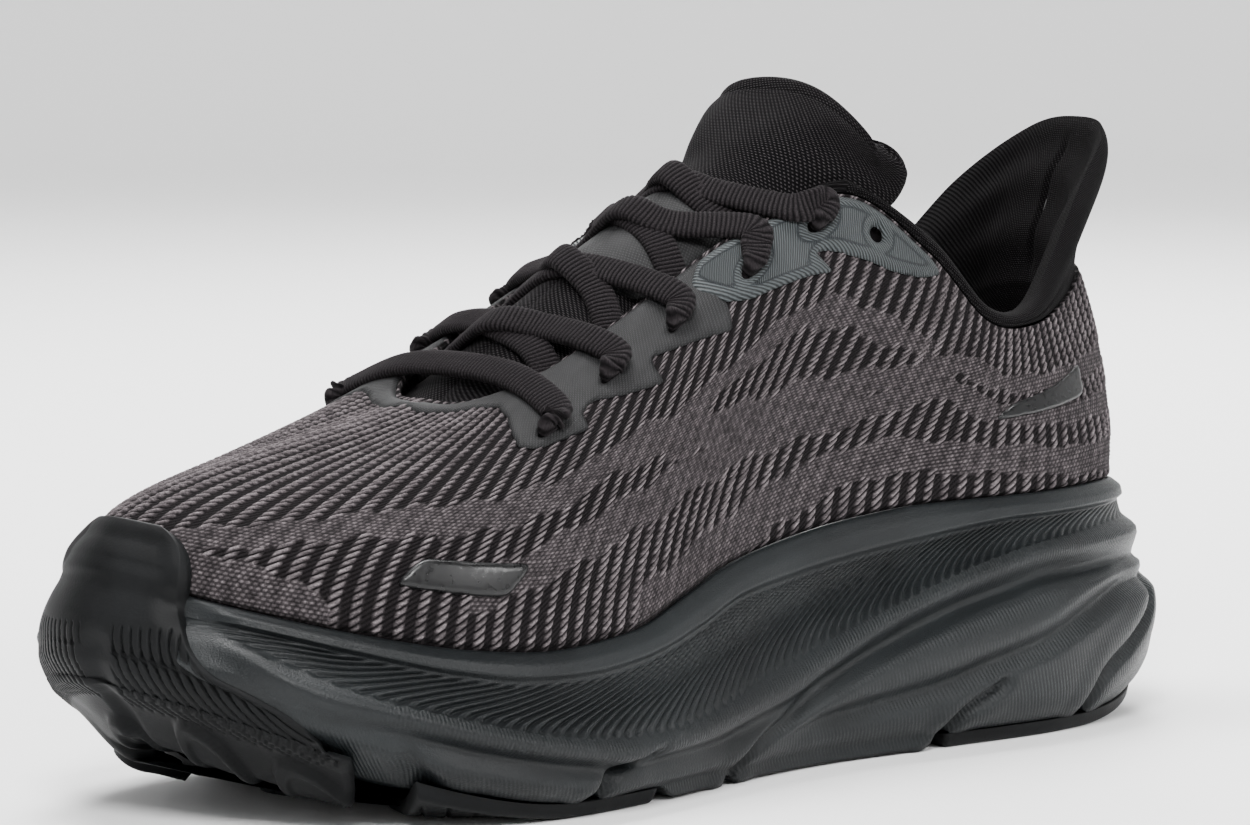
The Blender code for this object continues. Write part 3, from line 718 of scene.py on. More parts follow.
def plain_material(name, colour, roughness, grain_size):
    """Foam, board and other inner pieces."""
    made = make_material(name, colour, roughness)
    g = Graph(made)
    grain = g.noise(g.place(1000), grain_size, 3)
    g.colour(g.mix(grain, tuple(0.7 * c for c in colour), tuple(1.3 * c for c in colour)))
    g.bump(grain, 0.3, 0.7)
    return made


# ---------------------------------------------------------------- knit upper

MIDDLE_V = 0.45


def column_table():
    """Distance round the shoe at the middle of its height, against t."""
    t = np.linspace(-0.15, 1.15, 1301)
    return t, length_along(skin(t, MIDDLE_V + 0 * t))


COLUMN_T, COLUMN_S = column_table()
COLUMN_PITCH, LOOP_PITCH = 4.3, 1.85        # the ribs' spacing, and a loop's height on them
LINE_PITCH, DASH_PITCH = 0.92, 1.35         # lines and stitches of the dense bands
KNIT_GRID = 0.40
STEP = 4                                    # how much coarser a shell's back is than its face
EYELET_HOLE, SPARE_HOLE = 2.2, 1.7          # radii in the film and embroidery

# Denser bands of the jacquard, on one side: middle line (t, v), and half width in v.
BANDS = [
    ([(0.50, 0.10), (0.465, 0.22), (0.431, 0.32), (0.40, 0.385), (0.36, 0.40), (0.325, 0.44),
      (0.30, 0.505), (0.27, 0.46), (0.24, 0.40), (0.21, 0.46), (0.18, 0.60), (0.16, 0.74),
      (0.13, 0.66), (0.0, 0.60)], 0.050),
    ([(0.345, 0.17), (0.316, 0.25), (0.285, 0.31), (0.260, 0.34), (0.232, 0.34), (0.207, 0.38),
      (0.185, 0.46), (0.165, 0.60), (0.14, 0.50), (0.10, 0.42), (0.0, 0.36)], 0.055),
    ([(0.28, 0.52), (0.255, 0.60), (0.235, 0.66), (0.21, 0.70), (0.185, 0.72)], 0.035),
    ([(0.27, 0.02), (0.235, 0.06), (0.20, 0.16), (0.17, 0.24), (0.14, 0.22), (0.10, 0.14),
      (0.0, 0.10)], 0.075),
    ([(0.52, 0.02), (0.49, 0.04), (0.46, 0.08), (0.43, 0.06), (0.41, 0.0)], 0.09),
]


def band_strength(t, v):
    """1 in the dense bands of the jacquard, 0 between them."""
    away = from_heel(t)
    strength = np.zeros(t.shape)
    for line, half in BANDS:
        knots = sorted(line)
        middle = table(knots, away)
        ends = ramp(knots[0][0] - 0.012, knots[0][0], away) * ramp(knots[-1][0] + 0.012,
                                                                  knots[-1][0], away)
        edge = half + 0.012 * np.sin(away * 260) + 0.006 * np.sin(away * 611 + 1)
        strength = np.maximum(strength, ends * ramp(edge + 0.022, edge - 0.012,
                                                    np.abs(v - middle)))
    return strength


def hashed(a, b):
    """A repeatable value between 0 and 1 for a pair of whole numbers."""
    raw = np.sin(a * 12.9898 + b * 78.233) * 43758.5453
    return raw - np.floor(raw)


def knit_pattern(t, v, rise):
    """Yarn relief in millimetres, and how light the yarn is. rise is the distance up the skin."""
    s = np.interp(np.where(t > 1.1, t - 1, t), COLUMN_T, COLUMN_S)
    column = s / COLUMN_PITCH
    number, u = np.floor(column), column - np.floor(column)
    row = rise / LOOP_PITCH + 0.45 * number + 2.1 * (u - 0.5)
    place = np.abs((row % 1.0) - 0.5) * 2
    loop = ramp(0.86, 0.30, place)
    wide = 0.185 + 0.03 * np.sin(0.7 * number)
    stripe = ramp(wide + 0.11, wide - 0.04, np.abs(u - 0.5))
    shade = 0.55 + 0.6 * hashed(number, np.floor(row))
    plies = 0.78 + 0.22 * np.cos(2 * np.pi * (u * 9 + row * 2))
    light_a = stripe * loop * shade * plies
    between = 0.5 + 0.5 * np.cos(2 * np.pi * (rise / 1.3 + 3.0 * u))
    high_a = -0.42 + 0.75 * stripe * (0.35 + 0.65 * loop) + 0.14 * (1 - stripe) * between
    light_a = light_a + 0.05 * (1 - stripe) * between
    line = rise / LINE_PITCH + 0.05 * s
    rib = 0.5 + 0.5 * np.cos(2 * np.pi * line)
    shift = 0.5 * (np.floor(line + 0.5) % 2)
    dash = 0.5 + 0.5 * np.cos(2 * np.pi * (s / DASH_PITCH + shift))
    grain = hashed(np.floor(s / DASH_PITCH + shift), np.floor(line + 0.5))
    light_b = (0.10 + 0.80 * rib * dash) * (0.50 + 0.70 * grain)
    light_b = light_b * (1 - 0.35 * ramp(0.1, 0.45, np.abs(u - 0.5)))
    high_b = -0.10 + 0.30 * rib * (0.35 + 0.65 * dash)
    band = band_strength(t, v)
    broken = ramp(0.30, 0.70, band + 0.5 * (0.45 - stripe) * 0.8)
    return (high_a * (1 - broken) + high_b * broken,
            np.clip(light_a * (1 - broken) + light_b * broken, 0, 1))


def place_mask(t, v, places, radius):
    """1 round each place on both sides of the shoe."""
    away = from_heel(t)
    here = np.stack([away * FLAT_T, v * FLAT_V], -1)
    mask = np.zeros(t.shape)
    for place in places:
        gap = np.linalg.norm(here - np.array(place) * [FLAT_T, FLAT_V], axis=-1)
        mask = np.maximum(mask, ramp(radius + 0.9, radius - 0.3, gap))
    return mask


def overlay_mask(t, v):
    """True under the film and embroidery, where the knit is pressed flat."""
    away = from_heel(t)
    here = np.stack([away * FLAT_T, v * FLAT_V], -1)
    mask = np.zeros(t.shape, bool)
    for corners in (EYESTAY, EYELET_PATCH):
        mask |= inside(here, rounded(corners))
    return mask


EYESTAY = [
    (0.492, 0.950), (0.480, 0.940), (0.464, 0.945), (0.430, 0.925), (0.406, 0.880),
    (0.388, 0.800), (0.376, 0.720), (0.364, 0.640), (0.352, 0.612), (0.329, 0.628), (0.338, 0.700),
    (0.335, 0.728), (0.322, 0.705), (0.296, 0.672), (0.306, 0.750), (0.309, 0.785),
    (0.296, 0.765), (0.267, 0.722), (0.272, 0.800), (0.283, 0.900), (0.290, 0.992),
    (0.340, 0.992), (0.380, 0.992), (0.420, 0.992), (0.445, 0.992), (0.492, 0.985),
]
EYELET_PATCH = [
    (0.293, 0.988), (0.296, 0.930), (0.288, 0.880), (0.276, 0.825), (0.262, 0.788),
    (0.246, 0.782), (0.229, 0.786), (0.2335, 0.812), (0.240, 0.850), (0.224, 0.842), (0.206, 0.870),
    (0.192, 0.920), (0.184, 0.975), (0.190, 0.992), (0.240, 0.992),
]


def knit_panel(name, t0, t1, finish):
    """A stretch of the knit as a closed shell with its loops in relief."""
    wide = np.interp(t1, COLUMN_T, COLUMN_S) - np.interp(t0, COLUMN_T, COLUMN_S)
    columns = int(np.ceil(wide / KNIT_GRID / STEP)) * STEP + 1
    reach = max(length_along(skin(t + np.zeros(60), np.linspace(0, 1, 60)))[-1]
                for t in np.linspace(t0, t1, 7))
    rows = int(np.ceil(reach / KNIT_GRID / STEP)) * STEP + 1
    e = (t1 - t0) / (columns - 1)
    t = np.linspace(t0 - e, t1 + e, columns + 2)
    v = np.linspace(0, 1, rows)
    t, v = np.meshgrid(t, v)
    base, normal = skin(t, v), skin_normal(t, v)
    rise = length_along(base)
    high, light = knit_pattern(t, v, rise)
    pressed = overlay_mask(t, v)
    fade = ramp(0, 0.012, v) * ramp(1.0, 0.985, v)
    high = np.where(pressed, -0.35, high * fade)
    # Painted shade: the knit is darkened along its bottom edge, where it tucks in behind the sole's
    # rim. Under the overlays it is pressed flat and darker.
    light = np.where(pressed, 0.15 * light, light) * (0.45 + 0.55 * ramp(0, 0.03, v))
    # Painted shade: the knit is sunk into each eyelet hole and painted dark there.
    hole = place_mask(t, v, [*EYELETS, SPARE_EYELET], 1.9)
    high = high - 2.2 * hole
    light = light * (1 - hole)
    tuck = 0.9 * ramp(0.025, 0, v)
    outer = base + normal * (high - tuck)[..., None]
    across = grid_normal(outer)
    across *= np.sign(np.sum(across * normal, -1))[..., None]
    outer, across = outer[:, 1:-1], across[:, 1:-1]
    inner = (base - normal * KNIT)[::STEP, 1:-1:STEP]
    points, faces = shell(outer, inner, STEP)
    extra = inner.shape[0] * inner.shape[1]
    s = np.interp(np.where(t > 1.1, t - 1, t), COLUMN_T, COLUMN_S)
    uv = np.stack([s, rise], -1)[:, 1:-1].reshape(-1, 2)
    made = piece(name, points, faces, finish, ("upper",),
                 uv=with_inner(uv, extra), values={"light": with_inner(light[:, 1:-1].ravel(), extra)},
                 normals=with_inner(across.reshape(-1, 3), extra))
    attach(made, "shoe")


def make_knit(finish):
    """The upper's knit, in panels that meet edge to edge."""
    stops = [-0.075, 0.06, 0.15, 0.235, 0.31, 0.385, 0.46, 0.54, 0.615, 0.69, 0.765, 0.85, 0.925]
    names = ["heel", "lateral_rear", "lateral_waist", "lateral_middle", "lateral_front",
             "lateral_toe", "toe", "medial_toe", "medial_front", "medial_middle",
             "medial_waist", "medial_rear"]
    for place, t0, t1 in zip(names, stops, stops[1:]):
        knit_panel(f"knit_{place}", t0, t1, finish)


# ---------------------------------------------------------------- midsole

BAND_LOW = [
    (-144, 49), (-128, 44.5), (-102, 36.4), (-87, 32.5), (-69, 29.8), (-56, 29.5), (-40, 30.8),
    (-18, 35.9), (-3, 40.6), (16, 43.2), (34, 45.4), (51, 47.4), (69, 49.3), (86, 50.5),
    (139, 50.3), (156, 48.8),
]
FEATHER_LOW = [
    (-144, 45), (-128, 40.5), (-119, 36), (-107, 29.6), (-91, 24.4), (-74, 19.9), (-54, 17),
    (-38, 16.4), (-20, 18.5), (-3, 22.6), (11, 26), (35, 32), (57, 38.2), (75, 42.2),
    (94, 45.0), (125, 46.2), (156, 45),
]
ROLL = [
    (-144, 42), (-128, 38.3), (-119, 32), (-106, 26.2), (-86, 20.6), (-61, 14.9), (-47, 13.3),
    (-25, 14.9), (-10, 17.4), (5, 20.4), (21, 25.2), (48, 33.8), (75, 39.6), (99, 42.6),
    (125, 42.8), (156, 41.0),
]
GROOVE_ONE = [
    (-144, 36), (-125, 31), (-101, 21.6), (-87, 16.6), (-61, 11.2), (-46, 9.0), (-20, 9.4),
    (5, 14), (20, 18.9), (38, 25.7), (56, 31.4), (74, 35.4), (93, 38.3), (125, 38.2), (156, 36),
]
GROOVE_TWO = [
    (-60, 4), (0, 7.5), (20, 10.6), (38, 12.6), (55, 14.8), (71, 18.6), (88, 22.9), (105, 29.0),
    (125, 33.5), (156, 33),
]
NOTCHES = [     # cuts across the lower side: places (x, z) from top to bottom, depth, width
    ([(-36, 13.4), (-42, 11.5), (-50, 8.2), (-55, 3.0), (-57, -2)], 3.4, 2.6),
    ([(22, 18.5), (10, 12.5), (-2, 6.6), (-9, -2)], 1.9, 2.4),
    ([(80, 15.5), (72, 11.8), (64, 7.2), (58, -2)], 3.0, 2.4),
    ([(138, 36), (133, 26), (122, 19), (110, 12), (104, -2)], 2.0, 2.8),
    ([(-104, 21), (-98, 14), (-92, 9), (-89, 4)], 1.6, 2.6),
]


def profile(t, z):
    """Inset of the sole's side at a height."""
    x = outline(t)[..., 0]
    top, inset = rim(t)
    low = underside(x, 6) + PAD_THICKNESS + GAP
    h = np.clip((z - low) / (top - low), 0, 1)
    fixed = table([(0, 6), (0.07, 3.2), (0.16, 1.4), (0.38, 0), (0.6, 0), (1, 0)], h)
    share = table([(0, 0), (0.38, 0.0), (0.60, 0.26), (0.83, 0.80), (1, 1)], h)
    return fixed + share * inset


def nearest_on(line, x, z, count=60):
    """Distance to a drawn line on the side, and how far along it the nearest point is."""
    path = along(np.asarray(line, float), np.linspace(0, 1, count))
    best, place = np.full(x.shape, 1e9), np.zeros(x.shape)
    for k, (px, pz) in enumerate(path):
        gap = np.hypot(x - px, z - pz)
        closer = gap < best
        best = np.where(closer, gap, best)
        place = np.where(closer, k / (count - 1), place)
    return best, place


def slope_of(knots, x):
    """What turns an upright distance to a curve into the shortest one."""
    rise = table(knots, x + 1) - table(knots, x - 1)
    return 1 / np.sqrt(1 + (rise / 2)**2)


def sole_relief(t, x, z):
    """Sculpting of the sole's side, outwards in millimetres, with masks for its fine ribs."""
    feather, band = table(FEATHER_LOW, x), table(BAND_LOW, x)
    roll, one, two = table(ROLL, x), table(GROOVE_ONE, x), table(GROOVE_TWO, x)
    level = np.clip((z - feather) / np.maximum(band - feather, 1), 0, 1)
    tall = np.maximum(band - feather, 0.1)
    start = x - 36 * (0.3 * level + 0.7 * level**2) * np.clip(tall / 14, 0.25, 1.3)
    wave = 0.5 + 0.5 * np.cos(2 * np.pi * start / 3.3)
    within = ramp(-0.02, 0.10, (z - feather) / tall) * ramp(1.0, 0.93, level)
    size = ramp(2.5, 9, tall)
    relief = -1.0 * within * size * wave**1.6
    relief += -1.7 * within * np.sin(np.pi * np.clip(level, 0, 1)) * ramp(3, 14, tall)
    top = rim(t)[0]
    lip = np.clip((z - band) / np.maximum(top - band, 0.5), 0, 1)
    relief += 1.5 * ramp(0, 0.22, lip) * ramp(1.15, 0.55, lip)
    lean = slope_of(ROLL, x)
    across = (z - roll) * lean
    relief += 1.9 * bump(across, 4.6)
    deep = (z - one) * slope_of(GROOVE_ONE, x)
    relief -= 2.4 * bump(deep, 4.4) * ramp(-118, -95, x)
    reach = ramp(-4, 30, x)
    cut = (z - two) * slope_of(GROOVE_TWO, x)
    relief -= 2.3 * reach * bump(cut, 5.0)
    face = np.clip((z - two) / np.maximum(one - two, 1), 0, 1)
    relief += 1.6 * reach * np.sin(np.pi * face)
    for line, depth, width in NOTCHES:
        gap, place = nearest_on(line, x, z)
        relief -= depth * bump(gap, width) * ramp(0, 0.25, place)
        side = bump(gap - width * 1.6, width * 1.8)
        relief += 0.5 * side * ramp(0, 0.3, place)
    away = from_heel(t)
    covered = ramp(0.0, 0.012, away - table(TOE_LEFT, z) - 0.006)
    near = ramp(-0.022, -0.004, away - table(TOE_LEFT, z))
    relief = np.where(relief > 0.2, relief + (0.2 - relief) * near, relief)
    relief = relief * (1 - covered) - 3.0 * covered
    ribbed = bump(across, 4.2) * ramp(-112, -95, x)
    lined = ramp(2.5, 5, one - z) * ramp(0, 4, z)
    return relief, ribbed, lined


# Rows underneath, round the lower edge, up to the feather, over the band, up the rim, over it.
SOLE_ROWS = (4, 6, 34, 48, 14, 6)
LIP = 1.4       # how far in the rim's top edge is rounded
SOLE_COLUMNS = 760


def sole_rows(t):
    """Heights and insets of the visible sole, row by row from underneath to the footbed."""
    under, edge, side, ribs, top_band, over = SOLE_ROWS
    x = outline(t)[..., 0]
    top, inset = rim(t)
    away = from_heel(t)
    bare = ramp(0.156, 0.164, away) * ramp(0.269, 0.261, away) * (PAD_THICKNESS - 0.1)
    low = underside(x, 6) + PAD_THICKNESS + GAP - bare
    feather = np.maximum(table(FEATHER_LOW, x), low + 2)
    band = np.maximum(table(BAND_LOW, x), feather + 0.4)
    rows = []
    start = ground(x) + PAD_THICKNESS + GAP - bare * 0.6
    end = underside(x, 14) + PAD_THICKNESS + GAP - bare
    for far in np.linspace(26, 14, under, endpoint=False):
        rows.append((far + 0 * x, start + (end - start) * (26 - far) / 12))
    for far in np.linspace(14, 6.6, edge, endpoint=False):
        rows.append((far + 0 * x, end + (low - end) * (14 - far) / 8))
    for a, b, count in ((low, feather, side), (feather, band, ribs), (band, top, top_band)):
        for s in np.linspace(0, 1, count, endpoint=False):
            z = a + (b - a) * s
            rows.append((profile(t, z), z))
    for angle in np.linspace(0, math.pi / 2, over):
        rows.append((inset + LIP * np.sin(angle), top + 0.55 * np.sin(2 * angle)))
    for s in np.linspace(0.25, 1, 4):
        rows.append((inset + LIP + (LEDGE - LIP) * s, top))
    for s in np.linspace(0.34, 1, 3):
        rows.append((inset + LEDGE + 2 * s, top + (table(FOOTBED, x) - top) * s))
    return (np.array(values) for values in zip(*rows))


def sole_half(name, t0, t1, finish):
    """One side of the sole, with its ribs, grooves and notches in relief."""
    e = (t1 - t0) / (SOLE_COLUMNS - 1)
    t = np.linspace(t0 - e, t1 + e, SOLE_COLUMNS + 2)
    insets, heights = sole_rows(t)
    tt = np.broadcast_to(t, heights.shape)
    base = sole_point(tt, insets, heights)
    normal = grid_normal(base)
    away = level_out(tt)
    first, middle, last = (sum(SOLE_ROWS[:k]) for k in (2, 3, 5))
    if np.sum(normal[middle] * away[middle]) < 0:
        normal = -normal
    relief, ribbed, lined = sole_relief(tt, base[..., 0], heights)
    weight = np.zeros(len(heights))
    weight[first:last] = 1
    weight[first - 5:first] = np.linspace(0, 0.9, 5)
    weight[last:last + SOLE_ROWS[5]] = np.linspace(0.9, 0.0, SOLE_ROWS[5])
    low = heights[first]
    weight = weight[:, None] * ramp(-3, 4, heights - low + 3.0)
    outer = base + normal * (relief * weight)[..., None]
    across = grid_normal(outer)
    across *= np.sign(np.sum(across * normal, -1))[..., None]
    rise = length_along(base)
    s = length_along(sole_point(t, 0 * t, 0 * t))
    uv = np.stack([np.broadcast_to(s, rise.shape), rise], -1)
    outer, across, uv = outer[:, 1:-1], across[:, 1:-1], uv[:, 1:-1]
    rows, wide = outer.shape[:2]
    face = facing_out(quads(rows, wide), outer, normal[:, 1:-1], middle, 4)
    made = piece(name, outer.reshape(-1, 3), face, finish, ("midsole",), uv=uv.reshape(-1, 2),
                 values={"ribbed": ribbed[:, 1:-1] * weight[:, 1:-1] ** 0.5,
                         "lined": lined[:, 1:-1]},
                 normals=across.reshape(-1, 3))
    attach(made, "shoe")


def make_midsole(finish):
    sole_half("midsole_lateral", 0.0, 0.5, finish)
    sole_half("midsole_medial", 0.5, 1.0, finish)
    sole_bottom(finish)


def sole_bottom(finish):
    """The foam's underside between its edges."""
    rows, columns = 81, 25
    s, q = np.linspace(0.002, 0.498, rows), np.linspace(0, 1, columns)
    ends = []
    for t in (s, 1 - s):
        x = outline(t)[:, 0]
        ends.append(sole_point(t, 20 + 0 * x, ground(x) + PAD_THICKNESS + GAP + 0.05))
    grid = ends[0][:, None] * (1 - q)[None, :, None] + ends[1][:, None] * q[None, :, None]
    grid[..., 2] = ground(grid[..., 0]) + PAD_THICKNESS + GAP
    row = np.arange(rows)[:, None]
    grid[..., 2] += 1.6 * bump(q - 0.5, 0.10) * ramp(0, 6, row) * ramp(rows - 1, rows - 7, row)
    grid[..., 2] -= 1.6 * ramp(-60, -85, grid[..., 0])
    made = piece("midsole_underside", grid.reshape(-1, 3), quads(rows, columns), finish,
                 ("midsole",))
    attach(made, "shoe")


# ---------------------------------------------------------------- overlays on the knit

FILM_THICK, SATIN_THICK = 0.55, 1.0
FILM_FRONT_T = 0.4915       # where the lateral film meets the medial one
SIDE_MARK = [(0.383, 0.17), (0.376, 0.265), (0.328, 0.235), (0.335, 0.145)]
REAR_MARK = [(0.142, 0.45), (0.134, 0.55), (0.088, 0.68), (0.092, 0.50)]


def make_overlays(film, embroidery, gloss):
    """Film along the lacing, embroidery at the top eyelets, and a plain mark at each end."""
    lateral = rounded(EYESTAY)
    low = lateral[lateral[:, 0] < FILM_FRONT_T * FLAT_T]
    medial = (low * [-1, 1] + [FLAT_T, 0])[::-1]
    whole = np.vstack([roll_to_start(low), roll_to_start(medial)])
    holes = [circle(place, EYELET_HOLE) for place in EYELETS[:3]]
    holes += [circle((1 - t, v), EYELET_HOLE) for t, v in EYELETS[:3]]
    made = patch("eyestay_film", whole, holes, FILM_THICK, film,
                 ("eyestay_lateral", "eyestay_medial"), base=0.0)
    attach(made, "shoe")
    for side, sign in (("lateral", 1), ("medial", -1)):
        holes = [circle(place, EYELET_HOLE) for place in EYELETS[3:]]
        holes.append(circle(SPARE_EYELET, SPARE_HOLE))
        made = patch(f"embroidered_{side}", rounded(EYELET_PATCH, 2.2), holes, SATIN_THICK, embroidery,
                     (f"eyelet_patch_{side}",), side=sign, base=0.05, taper=1.4)
        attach(made, "shoe")
        for place, node, corners in (("side", "forefoot", SIDE_MARK), ("rear", "heel", REAR_MARK)):
            made = patch(f"{place}_mark_{side}", rounded(corners, 3.0), [], FILM_THICK, gloss,
                         (f"{node}_mark_{side}",), side=sign, base=0.3)
            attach(made, "shoe")


def roll_to_start(loop):
    """The loop's points from its end near the toe at the bottom to its end at the top."""
    gap = np.linalg.norm(np.diff(np.vstack([loop, loop[:1]]), axis=0), axis=1)
    cut = (int(np.argmax(gap)) + 1) % len(loop)
    return np.roll(loop, -cut, 0)




# ---------------------------------------------------------------- lace

LACE_WIDE, LACE_THICK, RIB = 7.2, 2.5, 1.05
ARCH = 2.4                      # fullness of the tongue between its middle and its sides
LACE_SIDES = 18
FIRST_CROSSING, CROSSING_STEP = 0.25, 0.11      # where the lace crosses, along the tongue
LACE_TAIL = [(0.243, 0.84), (0.247, 0.72), (0.250, 0.58), (0.252, 0.44)]
TONGUE_RUN = unit(np.array([0.83, 0.0, 0.55]))


def lace_half(sign):
    """Half of the lace: places and how wide it lies there, from the front bar to its end."""
    def at(t, v, depth, side):
        return layer(np.array([side * t]), v, depth)[0]

    def across(w, u, height):
        place = tongue_surface(np.array([w]), np.array([-u]))[0, 0]
        lift = unit(np.array([-0.48, -0.35 * u, 0.82]))
        return place + lift * (height + ARCH * 4 * abs(u) * (1 - abs(u)))

    side = sign
    route = [(np.array(FRONT_BAR), 1.0)]
    for k, (t, v) in enumerate(EYELETS):
        route.append((at(LACE_OVER_EDGE[k], 0.985, 2.1, side), 1.0))
        route.append((at(t, v + 0.045, 2.3, side), 0.95))
        route.append((at(t, v + 0.004, 1.9, side), 0.74))
        route.append((at(t, v, -0.4, side), 0.62))
        route.append((at(t, v, -3.2, side), 0.75))
        if k == len(EYELETS) - 1:
            break
        route.append((at(0.5 * (t + LACE_UNDER_EDGE[k]), 0.5 * (v + 0.98), -4.2, side), 0.9))
        route.append((at(LACE_UNDER_EDGE[k], 0.99, -3.6, side), 0.95))
        w = FIRST_CROSSING + CROSSING_STEP * k
        route.append((across(w - 0.010, 0.27 * side, 1.4), 1.0))
        route.append((across(w, 0.0, 1.6 if sign == 1 else 3.8), 1.0))
        side = -side
        route.append((across(w + 0.020, 0.25 * side, 2.6), 1.0))
    for t, v in LACE_TAIL:
        route.append((at(t, v, -3.9, side), 0.9))
    return route


def make_lace(finish):
    """The flat woven lace, with the ribs across it in relief."""
    left, right = lace_half(1), lace_half(-1)
    route = left[:0:-1] + right
    places = np.array([np.r_[p, w] for p, w in route])
    fine = along(places, np.linspace(0, 1, 4000))
    gone = length_along(fine[:, :3])
    step = 0.26
    marks = np.arange(0, gone[-1], step)
    even = np.stack([np.interp(marks, gone, fine[:, i]) for i in range(4)], -1)
    line, wide = even[:, :3], np.clip(even[:, 3], 0.5, 1)
    tangent = unit(np.gradient(line, axis=0))
    across = TONGUE_RUN - tangent * (tangent @ TONGUE_RUN)[:, None]
    soft = max(1, int(2.0 / step))
    kernel = np.hanning(2 * soft + 1)
    across = unit(np.stack([np.convolve(across[:, i], kernel, "same") for i in range(3)], -1))
    across = unit(across - tangent * np.sum(tangent * across, -1)[:, None])
    face = np.cross(tangent, across)
    angle = np.linspace(0, 2 * math.pi, LACE_SIDES, endpoint=False)
    c, s = np.cos(angle), np.sin(angle)
    px = np.sign(c) * np.abs(c) ** 0.55
    py = np.sign(s) * np.abs(s) ** 0.75
    half = 0.5 * LACE_WIDE * wide
    thick = 0.5 * LACE_THICK * (1 + 0.75 * (1 - wide))
    rib = 0.5 + 0.5 * np.cos(2 * np.pi * (marks[:, None] / RIB + 0.35 * np.abs(px)[None]))
    swell = 0.30 * rib - 0.12
    points = (line[:, None] + across[:, None] * (px[None] * (half[:, None] + swell * 0.5))[..., None]
              + face[:, None] * (py[None] * (thick[:, None] + swell))[..., None])
    n, m = points.shape[:2]
    i, j = np.meshgrid(np.arange(n - 1), np.arange(m), indexing="ij")
    a, b = i * m + j, i * m + (j + 1) % m
    faces = np.stack([a, b, b + m, a + m], -1).reshape(-1, 4).tolist()
    faces += [list(range(m))[::-1], [(n - 1) * m + k for k in range(m)]]
    uv = np.stack([np.broadcast_to(marks[:, None], (n, m)), px[None] * half[:, None]], -1)
    # The ribs also colour the lace, as painted highlight on their crests and painted shade between
    # them.
    made = piece("flat_lace", points.reshape(-1, 3), faces, finish, ("lace",),
                 uv=uv.reshape(-1, 2), values={"light": rib})
    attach(made, "shoe")


# ---------------------------------------------------------------- collar, tongue and inside

def sheet_piece(name, face, thickness, finish, stands_for, values=None):
    """A closed cloth piece from its outer face."""
    back = offset(face, -thickness)[::STEP, ::STEP]
    points, faces = shell(face, back, STEP)
    extra = back.shape[0] * back.shape[1]
    across, rise = length_along(face[len(face) // 3]), length_along(face)
    uv = np.stack([np.broadcast_to(across, rise.shape), rise], -1).reshape(-1, 2)
    values = {key: with_inner(value.ravel(), extra) for key, value in (values or {}).items()}
    made = piece(name, points, faces, finish, stands_for, uv=with_inner(uv, extra),
                 values=values)
    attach(made, "shoe")
    return made


def make_collar(finish):
    """Padded collar and heel tab, with its rolled edge and the stitched seam under it."""
    rows_out, rows_in, rows_down = 37, 48, 40
    t = np.linspace(-0.25, 0.25, 401)
    face = cover_surface(t, rows_out, rows_in, rows_down)
    row = np.arange(len(face))[:, None]
    u_out = np.clip(row / (rows_out - 1), 0, 1)
    u_in = np.clip((row - rows_out + 1) / rows_in, 0, 1)
    tt = np.abs(t)[None]
    tab = ramp(0.085, 0.05, tt)
    puff = 1.3 * np.sin(np.pi * u_out) ** 0.8 * (1 - 0.6 * tab) * (u_in <= 0)
    puff = puff + 1.1 * np.sin(np.pi * np.clip(u_in * 1.15, 0, 1)) * (1 - 0.5 * tab)
    puff = puff - 1.4 * tab * bump(t[None] * 620, 3.2) * ramp(0.1, 0.35, u_in) * ramp(1, 0.8, u_in)
    down = np.clip((row - rows_out - rows_in + 1) / rows_down, 0, 1)
    puff = puff + 0.5 * np.sin(6 * np.pi * u_in) * tab * (u_in > 0) * (u_in < 1)
    puff = puff - 0.5 * bump(down - 0.02, 0.05)
    seam = 0.45 * bump(u_out - 0.16, 0.07) * (1 - tab)
    face = offset(face, (puff - seam) * ramp(0.2500, 0.243, tt))
    tuck = 2.2 * unit(face[0] - face[3]) - 0.8 * grid_normal(face)[0]
    face[:8] += np.linspace(1, 0, 8)[:, None, None] ** 2 * tuck * tab[0][:, None]
    made = sheet_piece("padded_collar", face, 1.2, finish, ("collar_cover",),
                       values={"inside": np.broadcast_to(u_in, face.shape[:2])})


